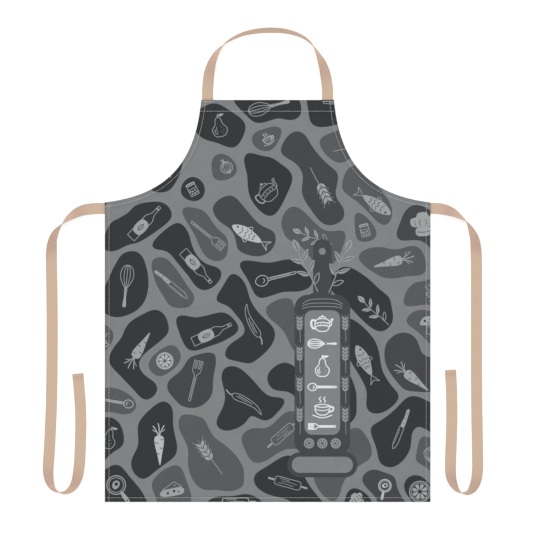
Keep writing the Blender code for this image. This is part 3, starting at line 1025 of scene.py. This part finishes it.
class InkFilm:
    """All the ink of one grey: flat points with the layer that each lies in, and faces."""

    def __init__(self):
        self.points, self.layers, self.faces = [], [], []

    def add(self, points, faces, layer):
        start = len(self.points)
        self.points += points
        self.layers += [layer] * len(points)
        self.faces += [tuple(start + k for k in face) for face in faces]

    def piece(self, name, material):
        """The film laid on the cloth, with what runs over its edge drawn back to the edge."""
        heights = [ink_bed(*point) for point in self.points]
        laid = [height is not None for height in heights]
        kept = [face for face in self.faces if any(laid[k] for k in face)]
        for face in kept:
            anchor = next(k for k in face if laid[k])
            for k in face:
                near, far = self.points[anchor], self.points[k]
                while heights[k] is None and (far - near).length > INK_EDGE:
                    middle = (near + far) / 2
                    near, far = (near, middle) if cloth_top(*middle) is None else (middle, far)
                if heights[k] is None:
                    self.points[k], heights[k] = near, ink_bed(*near)
        used = sorted({k for face in kept for k in face})
        places = {k: (*self.points[k], heights[k] + INK * self.layers[k]) for k in used}
        number = {k: index for index, k in enumerate(used)}
        mesh = bpy.data.meshes.new(name)
        mesh.from_pydata([places[k] for k in used], [], [tuple(number[k] for k in f) for f in kept])
        tell(mesh, "cut", [(*places[k][:2], 0) for k in used], "FLOAT_VECTOR")
        piece = new_piece(name, mesh, [material])
        thicken(piece, INK_SUNK, -1)
        return piece


dark_film = InkFilm()


def draw_mark(film, mark, centre, turn, size, breadth, layer):
    """Draws one mark in a film of ink, turned, at its size and place."""
    if mark.kind in ("vein", "hole"):
        film, layer = dark_film, layer + 1
    corners = [Vector(p) for p in mark.points]
    if mark.kind in ("dot", "hole"):
        middle, radius = corners[0], mark.points[1][0]
        turns = [k * math.pi / 5 for k in range(10)]
        corners = [middle + radius * Vector((math.cos(t), math.sin(t))) for t in turns]
    spin = Matrix.Rotation(turn, 2)
    placed = [centre + spin @ (c * size) for c in corners]
    closed = mark.kind in ("loop", "patch")
    run = smooth_run(placed, closed) if closed or mark.kind in ("curve", "vein") else placed
    if mark.kind in ("patch", "dot", "hole"):
        if sum(a.x * b.y - a.y * b.x for a, b in zip(run, run[1:] + run[:1])) < 0:
            run.reverse()
        film.add(*filled(run, PATCH_CELL), layer)
    else:
        film.add(*ribbon(in_steps(run, closed), mark.width * breadth, closed), layer)


def draw(film, drawing, centre, turn, size, breadth, layer):
    """Draws a whole drawing, each mark a hair above the one before, so no two share a height."""
    for k, mark in enumerate(drawing):
        draw_mark(film, mark, centre, turn, size, breadth, layer + MARK_RISE * k)


def ink_material(name, code):
    """Pigment ink on twill: matt, with the cloth's ribs showing through it."""
    material, tree, shader = new_material(name)
    finish(tree, shader, linear(code), cloth_shade(tree, False),
           twill_relief(tree, TWILL_STRENGTH),
           {"Roughness": 0.82, "IOR": 1.5, "Specular IOR Level": 0.25})
    return material


def fitting_size(drawing, owner, centre, turn, wanted):
    """The largest size up to the wanted one at which a drawing stays inside its shape."""
    lines = [mark for mark in drawing if mark.kind not in ("dot", "hole")]
    corners = np.array([p for mark in lines for p in mark.points])
    sizes = wanted * np.arange(*SIZES_TRIED)
    spin = np.array(Matrix.Rotation(turn, 2))
    placed = (corners @ spin.T)[None] * sizes[:, None, None] + np.array(centre)
    outside = shape_distances(placed[:, :, 0], placed[:, :, 1])[owner].max(axis=1)
    inside = sizes[outside < -DRAWING_MARGIN]
    return float(inside[0]) if len(inside) else 0.0


random.seed(DRAWING_SEED)
pale_film, bright_film = InkFilm(), InkFilm()
slim_order, round_order = [], []
grid_x, grid_y = np.meshgrid(*(np.arange(*reach, GRID) for reach in DRAWING_AREA))
places = np.column_stack((grid_x.ravel(), grid_y.ravel()))
for owner, depth in enumerate(-shape_distances(places[:, 0], places[:, 1])):
    within = places[depth > LEAST_DEPTH]
    if len(within) < LEAST_PLACES:
        continue
    middle, deepest, depth = within.mean(axis=0), places[np.argmax(depth)], float(np.max(depth))
    spread, axes = np.linalg.eigh(np.cov(within.T))
    half_length = 2 * math.sqrt(spread[1])
    if half_length > SLIM_SHAPE * depth:
        lean = math.atan2(axes[1, 1], axes[0, 1]) - math.pi / 2 + random.choice((0, math.pi))
        wanted = min(SLIM_FILL * half_length, LARGEST_DRAWING)
        slim_order = slim_order or random.sample(SLIM_DRAWINGS, len(SLIM_DRAWINGS))
        drawing = slim_order.pop()
    else:
        lean = random.uniform(*ROUND_LEAN)
        wanted = min(ROUND_FILL * depth, LARGEST_DRAWING)
        round_order = round_order or random.sample(ROUND_DRAWINGS, len(ROUND_DRAWINGS))
        drawing = round_order.pop()
    film = random.choice((pale_film, pale_film, bright_film))
    tries = [(fitting_size(drawing, owner, centre, lean + more, wanted), tuple(centre), lean + more)
             for centre in (middle, deepest, (middle + deepest) / 2) for more in MORE_LEAN]
    size, centre, turn = max(tries)
    offset = Vector(centre) - BOARD_PLACE
    over_board = abs(offset.x) < BOARD_CLEAR.x and abs(offset.y) < BOARD_CLEAR.y
    if size < LEAST_DRAWING or over_board:
        continue
    draw(film, drawing, Vector(centre), turn, size, FINE_LINE, DRAWING_LAYER)

pale_print = pale_film.piece("pale_drawings", ink_material("pale_grey_ink", "#9DA0A1"))
bright_print = bright_film.piece("light_drawings", ink_material("light_grey_ink", "#B8BBBC"))

# Printed bread board
# A tall dark grey bread board with a light window of kitchen pictograms, two leafy sprigs over
# its handle and a blank plate at its foot, printed on the right of the skirt over the shapes.

BOARD_LINE = 0.0019
SPRIG_LINE = 0.0016
TRIM_LINE = 0.0009
BOARD_CELL = 0.005
TOP_LAYER = 7

Panel = namedtuple("Panel", "film layer middle half_width half_height corner")
slate_film, ground_film, white_film, dull_film = InkFilm(), InkFilm(), InkFilm(), InkFilm()
BOARD_PANELS = (
    Panel(slate_film, 3, (0, 0.188), 0.0165, 0.056, 0.0160),
    Panel(slate_film, 4, (0, 0.000), 0.0500, 0.144, 0.0240),
    Panel(slate_film, 5, (0, -0.162), 0.0630, 0.0225, 0.0220),
    Panel(ground_film, 4, (0, 0.222), 0.0062, 0.0062, 0.0060),
    Panel(ground_film, 5, (0, 0.004), 0.0320, 0.112, 0.0140),
    Panel(ground_film, 6, (0, -0.162), 0.0550, 0.0145, 0.0140),
)


def rounded_ring(middle, half_width, half_height, corner):
    """A rounded rectangle, anticlockwise."""
    ring = []
    for turn, x, y in ((0, 1, 1), (90, -1, 1), (180, -1, -1), (270, 1, -1)):
        centre = middle + Vector((x * (half_width - corner), y * (half_height - corner)))
        for step in range(7):
            angle = math.radians(turn + 15 * step)
            ring.append(centre + corner * Vector((math.cos(angle), math.sin(angle))))
    return ring


for panel in BOARD_PANELS:
    middle = BOARD_PLACE + Vector(panel.middle)
    ring = rounded_ring(middle, panel.half_width, panel.half_height, panel.corner)
    ring = [p for k, p in enumerate(ring) if (p - ring[k - 1]).length > SHORTEST_STEP]
    panel.film.add(*filled(in_steps(ring, True), BOARD_CELL), panel.layer)

WINDOW_DRAWINGS = (
    (TEAPOT, 0, 0.0200, 0.092),
    (WHISK, 90, 0.0260, 0.056),
    (PEAR, 0, 0.0190, 0.016),
    (SPOON, 90, 0.0260, -0.022),
    (CUP, 0, 0.0200, -0.058),
    (FORK, 90, 0.0250, -0.093),
)
for drawing, turn, size, height in WINDOW_DRAWINGS:
    middle = BOARD_PLACE + Vector((0, height))
    draw(white_film, drawing, middle, math.radians(turn), size, BOARD_LINE, TOP_LAYER)
GRAIN = [curve((-.036, low), (-.02, mid), (.02, mid), (.036, low), width=0.55)
         for low, mid in ((.1195, .1225), (.1235, .1285), (.1275, .1355))]
draw(dull_film, GRAIN, BOARD_PLACE, 0, 1, BOARD_LINE, TOP_LAYER)
for across in (-0.024, 0, 0.024):
    middle = BOARD_PLACE + Vector((across, -0.1235))
    draw(dull_film, LEMON_SLICE, middle, 0, 0.0085, TRIM_LINE, TOP_LAYER)
for side in (-1, 1):
    middle = BOARD_PLACE + Vector((side * 0.031, 0.196))
    draw(dull_film, BAY_SPRIG, middle, math.radians(-24 * side), 0.052, SPRIG_LINE, TOP_LAYER)
    for height in (-0.082, -0.027, 0.028, 0.083):
        middle = BOARD_PLACE + Vector((side * 0.041, height))
        draw(dull_film, WHEAT_EAR, middle, 0, 0.025, TRIM_LINE, TOP_LAYER)

dark_print = dark_film.piece("dark_drawings", ink_material("charcoal_ink", "#35383A"))
board_pieces = [
    slate_film.piece("board_print", ink_material("dark_grey_ink", TONES["slate"])),
    ground_film.piece("board_window", ink_material("ground_grey_ink", GROUND)),
    white_film.piece("board_pictograms", ink_material("near_white_ink", "#E4E6E7")),
    dull_film.piece("board_trim", ink_material("dull_grey_ink", "#95989A")),
]

# Hem stitching
# A row of lockstitch in pale polyester thread holds each hem down, 8 mm from the edge and
# 20 mm along the bib's top, and short rows hold the strap's ends. The rows cross at the corners,
# and the bobbin thread shows the same rows underneath.

STITCH_PITCH = 0.0028
STITCH_LENGTH = 0.0022
STITCH_REACH = 0.0012
STITCH_WIDTH = 0.0006
STITCH_HEIGHT = 0.0005
STITCH_LIFT = 0.0001
EDGE_ROW = 0.0077
TOP_ROW = 0.0203
TOP_ROW_REACH = 0.16
SIDE_ROW_TOP = 0.02
ARMHOLE_ROW_STEPS = 150
ARMHOLE_ROW_END = 0.0006
SEAT_ROW = 0.0027
SEAT_ROW_REACH = 0.0095
BOBBIN_SUNK = 0.00018
TWIST_PITCH = 0.0006
TWIST_DEPTH = 0.00008
TWIST_LIGHT = (0.9, 1.06)


def thread_material(name, code):
    """Spun polyester thread: a soft shine, and a twist too fine to draw at its real 0.3 mm."""
    material, tree, shader = new_material(name)
    place = add_node(tree, "ShaderNodeTexCoord", {}, {})
    twist = add_node(tree, "ShaderNodeTexWave", {"bands_direction": "DIAGONAL"}, {
        "Vector": place.outputs["Object"],
        "Scale": math.tau / (10 * TWIST_PITCH * math.sqrt(2))}).outputs["Fac"]
    finish(tree, shader, linear(code), carried(tree, twist, (0, 1), TWIST_LIGHT),
           relief(tree, twist, 0.5, TWIST_DEPTH),
           {"Roughness": 0.55, "IOR": 1.53, "Sheen Weight": 0.15})
    return material


pale_thread = thread_material("pale_polyester_thread", "#F3F5F4")

# One stitch: a short swelling of thread whose ends go down into the cloth.
bpy.ops.object.select_all(action="DESELECT")
bpy.ops.mesh.primitive_uv_sphere_add(segments=6, ring_count=5, radius=0.5)
stitch = bpy.context.object
stitch_shape = np.array([(v.co.z, v.co.x, v.co.y) for v in stitch.data.vertices])
stitch_shape *= (STITCH_LENGTH, STITCH_WIDTH, STITCH_HEIGHT)
end_share = 2 * stitch_shape[:, 0] / STITCH_LENGTH
stitch_shape[:, 2] += STITCH_LIFT - STITCH_HEIGHT * 0.5 * end_share**2
# Sorted, because the sphere's faces come in another order from run to run.
stitch_faces = sorted(tuple(p.vertices) for p in stitch.data.polygons)
bpy.data.objects.remove(stitch)


def stitch_places(row, height):
    """Where each stitch of a row lies, and its heading. Those that miss the cloth are left out."""
    places = []
    reaches = (-STITCH_REACH, 0, STITCH_REACH)
    spare = STITCH_PITCH / 2
    for a, b in zip(row, row[1:]):
        length = (b - a).length
        heading = (b - a).normalized()
        while spare < length:
            middle = a + heading * spare
            ends = [height(*(middle + heading * reach)) for reach in reaches]
            if None not in ends:
                places.append((middle.x, middle.y, ends[1], math.atan2(heading.y, heading.x)))
            spare += STITCH_PITCH
        spare -= length
    return places


def stitch_piece(name, places, thread, way_up=1):
    """A stitch at each place, the right way up, or turned over for the underside with -1."""
    points, faces = [], []
    for x, y, z, heading in places:
        start = len(points)
        shape = stitch_shape * (1, way_up, way_up)
        cos, sin = math.cos(heading), math.sin(heading)
        points += [(x + a * cos - b * sin, y + a * sin + b * cos, z + c) for a, b, c in shape]
        faces += [tuple(start + k for k in face) for face in stitch_faces]
    mesh = bpy.data.meshes.new(name)
    mesh.from_pydata(points, [], faces)
    mesh.shade_smooth()
    return new_piece(name, mesh, [thread])


side_x, low_y, top_y = WAIST_WIDTH / 2 - EDGE_ROW, EDGE_ROW - SKIRT_LENGTH, BIB_HEIGHT - TOP_ROW
armhole_row = [armhole_point(k / ARMHOLE_ROW_STEPS, EDGE_ROW) for k in range(ARMHOLE_ROW_STEPS + 1)]
armhole_row = [p for p in armhole_row if p.y < BIB_HEIGHT - ARMHOLE_ROW_END]
hem_rows = [
    [Vector((-TOP_ROW_REACH, top_y)), Vector((TOP_ROW_REACH, top_y))],
    [Vector((-WAIST_WIDTH / 2, low_y)), Vector((WAIST_WIDTH / 2, low_y))],
    armhole_row,
    [Vector((-p.x, p.y)) for p in armhole_row],
    [Vector((side_x, -SKIRT_LENGTH)), Vector((side_x, SIDE_ROW_TOP))],
    [Vector((-side_x, -SKIRT_LENGTH)), Vector((-side_x, SIDE_ROW_TOP))],
]
seat_rows = [
    [Vector((side * NECK_SEAT + reach, BIB_HEIGHT - SEAT_ROW))
     for reach in (-SEAT_ROW_REACH, SEAT_ROW_REACH)] for side in (-1, 1)
]
hem_places = [place for row in hem_rows for place in stitch_places(row, ink_bed)]
seat_places = [place for row in seat_rows for place in stitch_places(row, ink_bed)]
under_places = [(x, y, seat_lift(x, y) + fold_lift(x, y) + BOBBIN_SUNK, heading)
                for x, y, _, heading in hem_places]
hem_threads = stitch_piece("hem_stitches", hem_places, pale_thread)
seat_threads = stitch_piece("seat_stitches", seat_places, pale_thread)
under_threads = stitch_piece("bobbin_stitches", under_places, pale_thread, way_up=-1)

# The cut of the panel is what shows of it with the hems' folded strips added all round.
shown, inside_hems = ring_area(edge_points), ring_area(outline(TOP_HEM, EDGE_HEM))

# Neck strap and ties
# Woven cotton tape 20 mm wide and 1.2 mm thick. The neck strap is one length whose ends are sewn
# behind the bib's corners. Each tie is sewn behind the side hem just under the waist, runs down
# beside the skirt, turns over and comes back up, and its free end is folded under and sewn.

NECK_RISE = 0.125
LEFT_TIE_REACH = 0.096
RIGHT_TIE_REACH = 0.083
TIE_DROP = 0.511
TIE_END_HEM = 0.0064
TIE_END_EASE = 0.010
TIE_END_ROWS = 13
TIE_ROW_REACH = 0.0088
OVER_END = (0.0055, 0.0035, 0.0015)
UNDER_END = (0.0015, 0.0035, TIE_END_HEM)
TAPE_STEP = 0.004
TAPE_TURN = 4.0
TAPE_COLUMNS = 9

# A tape's route: two shares of the sizes that it follows, and its roll in degrees, as in the
# solid model but for a few degrees at the bends, which put each twist where it is seen.
Stop = namedtuple("Stop", "along_x along_y roll")
# Shares of half the spacing between the strap's ends, and of NECK_RISE.
NECK_ROUTE = [Stop(*stop) for stop in (
    (-1, 0, 0), (-1, 0.14, 2), (-0.99, 0.26, 12), (-0.975, 0.375, 22), (-0.945, 0.49, 39),
    (-0.895, 0.605, 54), (-0.822, 0.71, 71), (-0.728, 0.798, 88), (-0.602, 0.872, 97),
    (-0.42, 0.942, 104), (-0.2, 0.985, 110), (0.025, 1, 113), (0.25, 0.992, 110),
    (0.45, 0.953, 105), (0.605, 0.895, 99), (0.705, 0.828, 94), (0.775, 0.757, 86),
    (0.825, 0.684, 74), (0.868, 0.612, 60), (0.908, 0.535, 46), (0.943, 0.44, 32),
    (0.968, 0.35, 20), (0.985, 0.255, 11), (1, 0.14, 2), (1, 0, 0),
)]

# Shares of the tie's reach away from the side edge, and of TIE_DROP downwards.
LEFT_TIE_ROUTE = [Stop(*stop) for stop in (
    (0, 0, 0), (0.257, 0.002, 8), (0.448, 0.009, 28), (0.64, 0.029, 54), (0.812, 0.058, 90),
    (0.917, 0.085, 119), (0.974, 0.113, 136), (0.994, 0.141, 154), (1.002, 0.178, 176),
    (0.992, 0.289, 180), (0.987, 0.465, 180), (1, 0.676, 180), (1.03, 0.817, 180),
    (1.047, 0.873, 183), (1.06, 0.909, 194), (1.058, 0.936, 206), (1.035, 0.96, 219),
    (0.97, 0.985, 242), (0.869, 0.998, 263), (0.735, 0.999, 284), (0.606, 0.983, 308),
    (0.53, 0.957, 328), (0.494, 0.928, 345), (0.471, 0.888, 358), (0.456, 0.817, 360),
    (0.45, 0.747, 360), (0.465, 0.676, 360), (0.487, 0.624, 360), (0.505, 0.583, 360),
)]

RIGHT_TIE_ROUTE = [Stop(*stop) for stop in (
    (0, 0, 0), (0.228, 0.002, 10), (0.449, 0.012, 38), (0.627, 0.028, 66), (0.781, 0.048, 90),
    (0.898, 0.083, 122), (0.96, 0.112, 141), (0.982, 0.14, 156), (0.996, 0.176, 177),
    (1, 0.288, 180), (1, 0.464, 180), (1.004, 0.675, 180), (1.017, 0.816, 180),
    (1.024, 0.879, 182), (1.022, 0.92, 188), (0.994, 0.956, 200), (0.927, 0.983, 218),
    (0.833, 0.999, 239), (0.725, 1.002, 258), (0.63, 0.997, 277), (0.545, 0.983, 300),
    (0.466, 0.957, 325), (0.436, 0.928, 344), (0.438, 0.886, 357), (0.453, 0.816, 360),
    (0.464, 0.745, 360), (0.462, 0.675, 360), (0.453, 0.622, 360), (0.434, 0.57, 360),
)]


def route_points(stops):
    """Points along a smooth curve through the stops (x, y, roll), closer where it turns."""
    chords = [math.dist(a[:2], b[:2]) for a, b in zip(stops, stops[1:])]
    places = [sum(chords[:k]) for k in range(len(stops))]
    slopes = []
    for k in range(len(stops)):
        before, after = max(0, k - 1), min(len(stops) - 1, k + 1)
        run = places[after] - places[before]
        slopes.append([(b - a) / run for a, b in zip(stops[before], stops[after])])
    points = [stops[0]]
    for k, chord in enumerate(chords):
        roll = abs(stops[k + 1][2] - stops[k][2])
        steps = max(1, math.ceil(chord / TAPE_STEP), math.ceil(roll / TAPE_TURN))
        for step in range(1, steps + 1):
            t = step / steps
            start, leave = 2 * t**3 - 3 * t**2 + 1, t**3 - 2 * t**2 + t
            end, arrive = 3 * t**2 - 2 * t**3, t**3 - t**2
            points.append(tuple(start * a + end * b + chord * (leave * m + arrive * n)
                                for a, b, m, n in zip(*stops[k:k + 2], *slopes[k:k + 2])))
    return points


def tape_rows(points, turn):
    """Each row of a tape: its middle and the direction across it, standing on its outer edge."""
    rows = []
    for k, (x, y, roll) in enumerate(points):
        before, after = points[max(0, k - 1)], points[min(len(points) - 1, k + 1)]
        heading = Vector((after[0] - before[0], after[1] - before[1], 0)).normalized()
        inner = Vector((-heading.y, heading.x, 0)) * turn
        angle = math.radians(roll)
        level, upright = math.cos(angle), math.sin(angle)
        rise = abs(upright) * TAPE_WIDTH / 2 + abs(level) * TAPE / 2
        rows.append((Vector((x, y, rise)), inner * level + Vector((0, 0, upright))))
    return rows


def hemmed_end(rows):
    """Folds the last stretch of a tape under itself, and lifts what lies over the fold."""
    lift = TAPE + HEM_GAP
    end, across = rows[-1]
    heading = (end - rows[-2][0]).normalized()
    up = Vector((0, 0, 1))
    rise_end = TIE_END_HEM + HEM_STEP
    rise_start = rise_end + TIE_END_EASE
    folded = [r for r in rows if (end - r[0]).length > rise_start + HEM_STEP]
    for share in (0, 0.2, 0.4, 0.6, 0.8, 1):
        back = rise_start + (rise_end - rise_start) * share
        folded.append((end - heading * back + up * lift * ease(share), across))
    folded += [(end - heading * back + up * lift, across) for back in OVER_END]
    for angle in (75, 40, 0, -40, -75):
        turn = math.radians(angle)
        back = lift / 2 * (1 - math.cos(turn))
        folded.append((end - heading * back + up * lift / 2 * (1 + math.sin(turn)), across))
    folded += [(end - heading * back, across) for back in UNDER_END]
    return folded


# Natural cotton tape: a matt herringbone between two firm edges. Its ribs are really 0.7 mm
# apart, and are drawn at 1.2 mm so that they show. Painted shade makes it greyer where it
# leans part way onto its edge.
TAPE_RIB = 0.0012
TAPE_CHEVRON = 0.0025
TAPE_RELIEF = 0.0001
TAPE_STREAKS = (900, 60, 1)
SELVEDGE = (0.0086, 0.0096)
SELVEDGE_LIGHT = (1, 0.95)
# Painted shade over the tape's end where it lies doubled over its fold.
DOUBLED_PAINTED_SHADE = (1, 0.94)
YARN_LIGHT = (0.975, 1.025)
RIB_LIGHT = (0.965, 1.02)
# Painted shade: the tape's colour by how far it leans onto its edge, darkest about halfway over.
LEAN_PAINTED_SHADE = ((0, "#D0B59E"), (0.2, "#CDB19C"), (0.45, "#C6A996"), (0.68, "#C7AA97"),
              (0.86, "#CFB29D"), (1, "#D1B49F"))
cotton_tape, tree, shader = new_material("natural_cotton_tape")
lean = on_mesh(tree, "lean").outputs["Fac"]
lean_shaded_colour = graded(tree, lean, [(place, linear(code)) for place, code in LEAN_PAINTED_SHADE])
layers = on_mesh(tree, "doubled").outputs["Fac"]
weave = on_mesh(tree, "weave").outputs["Vector"]
across, along, _ = add_node(tree, "ShaderNodeSeparateXYZ", {}, {"Vector": weave}).outputs
zigzag = calculated(tree, "PINGPONG", across, TAPE_CHEVRON)
slanted = calculated(tree, "ADD", zigzag, along)
turned = calculated(tree, "MULTIPLY", slanted, math.tau / (TAPE_RIB * math.sqrt(2)))
ribs = calculated(tree, "SINE", turned)
stretched = add_node(tree, "ShaderNodeMapping", {}, {"Vector": weave, "Scale": TAPE_STREAKS})
yarns = noise(tree, stretched.outputs["Vector"], 1.0, 2.0)
shade = carried(tree, ribs, (-1, 1), RIB_LIGHT)
for factor in (
    carried(tree, yarns, (0.3, 0.7), YARN_LIGHT),
    carried(tree, calculated(tree, "ABSOLUTE", across), SELVEDGE, SELVEDGE_LIGHT),
    carried(tree, layers, (0, 1), DOUBLED_PAINTED_SHADE),
):
    shade = calculated(tree, "MULTIPLY", shade, factor)
height = calculated(tree, "MULTIPLY_ADD", ribs, 0.5, yarns)
finish(tree, shader, lean_shaded_colour, shade, relief(tree, height, 0.6, TAPE_RELIEF),
       {"Roughness": 0.9, "IOR": 1.47, "Specular IOR Level": 0.2, "Sheen Weight": 0.1})

# Thread of the tape's colour but a little darker, so that the row also stands in as painted shade
# along the step of the end's hem.
natural_thread = thread_material("natural_polyester_thread", "#B99D87")


def make_tape(name, rows, place, doubled_rows):
    """Lays a length of tape along its rows, the last of them doubled over, and measures it."""
    points, woven, lean, doubled, along = [], [], [], [], 0.0
    for k, (middle, across) in enumerate(rows):
        along += (middle - rows[k - 1][0]).length if k else 0
        lean += [abs(across.z)] * TAPE_COLUMNS
        doubled += [float(k >= len(rows) - doubled_rows)] * TAPE_COLUMNS
        for column in range(TAPE_COLUMNS):
            share = column / (TAPE_COLUMNS - 1) - 0.5
            points.append(place + middle + across * (share * TAPE_WIDTH))
            woven.append((share * TAPE_WIDTH, along, 0))
    faces = []
    for k in range(len(rows) - 1):
        for column in range(TAPE_COLUMNS - 1):
            a = k * TAPE_COLUMNS + column
            faces.append((a, a + 1, a + 1 + TAPE_COLUMNS, a + TAPE_COLUMNS))
    mesh = bpy.data.meshes.new(name)
    mesh.from_pydata(points, [], faces)
    tell(mesh, "weave", woven, "FLOAT_VECTOR")
    tell(mesh, "lean", lean)
    tell(mesh, "doubled", doubled)
    tape = new_piece(name, mesh, [cotton_tape])
    thicken(tape, TAPE, 0)
    return tape, along


def make_tie(name, side, reach, route):
    """A waist tie on one side, side -1 being the left, with its free end folded and sewn."""
    stops = (Stop(-TIE_TUCK / reach, 0, 0), *route)
    stops = [(side * s.along_x * reach, -s.along_y * TIE_DROP, s.roll) for s in stops]
    rows = hemmed_end(tape_rows(route_points(stops), turn=-side))
    place = Vector((side * WAIST_WIDTH / 2, -TIE_SEAT, 0))
    tie, length = make_tape(name, rows, place, TIE_END_ROWS)
    end, half_row = rows[-1][0] + place, rows[-1][1] * TIE_ROW_REACH
    row = [(end - half_row).to_2d(), (end + half_row).to_2d()]
    places = stitch_places(row, top_finder(tie))
    threads = stitch_piece(name + "_stitches", places, natural_thread)
    return tie, length, threads


stops = (Stop(-1, -NECK_TUCK / NECK_RISE, 0), *NECK_ROUTE, Stop(1, -NECK_TUCK / NECK_RISE, 0))
stops = [(s.along_x * NECK_SEAT, s.along_y * NECK_RISE, s.roll) for s in stops]
neck_tape, neck_length = make_tape(
    "neck_tape", tape_rows(route_points(stops), turn=-1), Vector((0, BIB_HEIGHT, 0)), 0)
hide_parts("neck_strap")

for name, node, side, reach, route in (
    ("left_tie_tape", "left_tie", -1, LEFT_TIE_REACH, LEFT_TIE_ROUTE),
    ("right_tie_tape", "right_tie", 1, RIGHT_TIE_REACH, RIGHT_TIE_ROUTE),
):
    tie, length, threads = make_tie(name, side, reach, route)
    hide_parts(node)
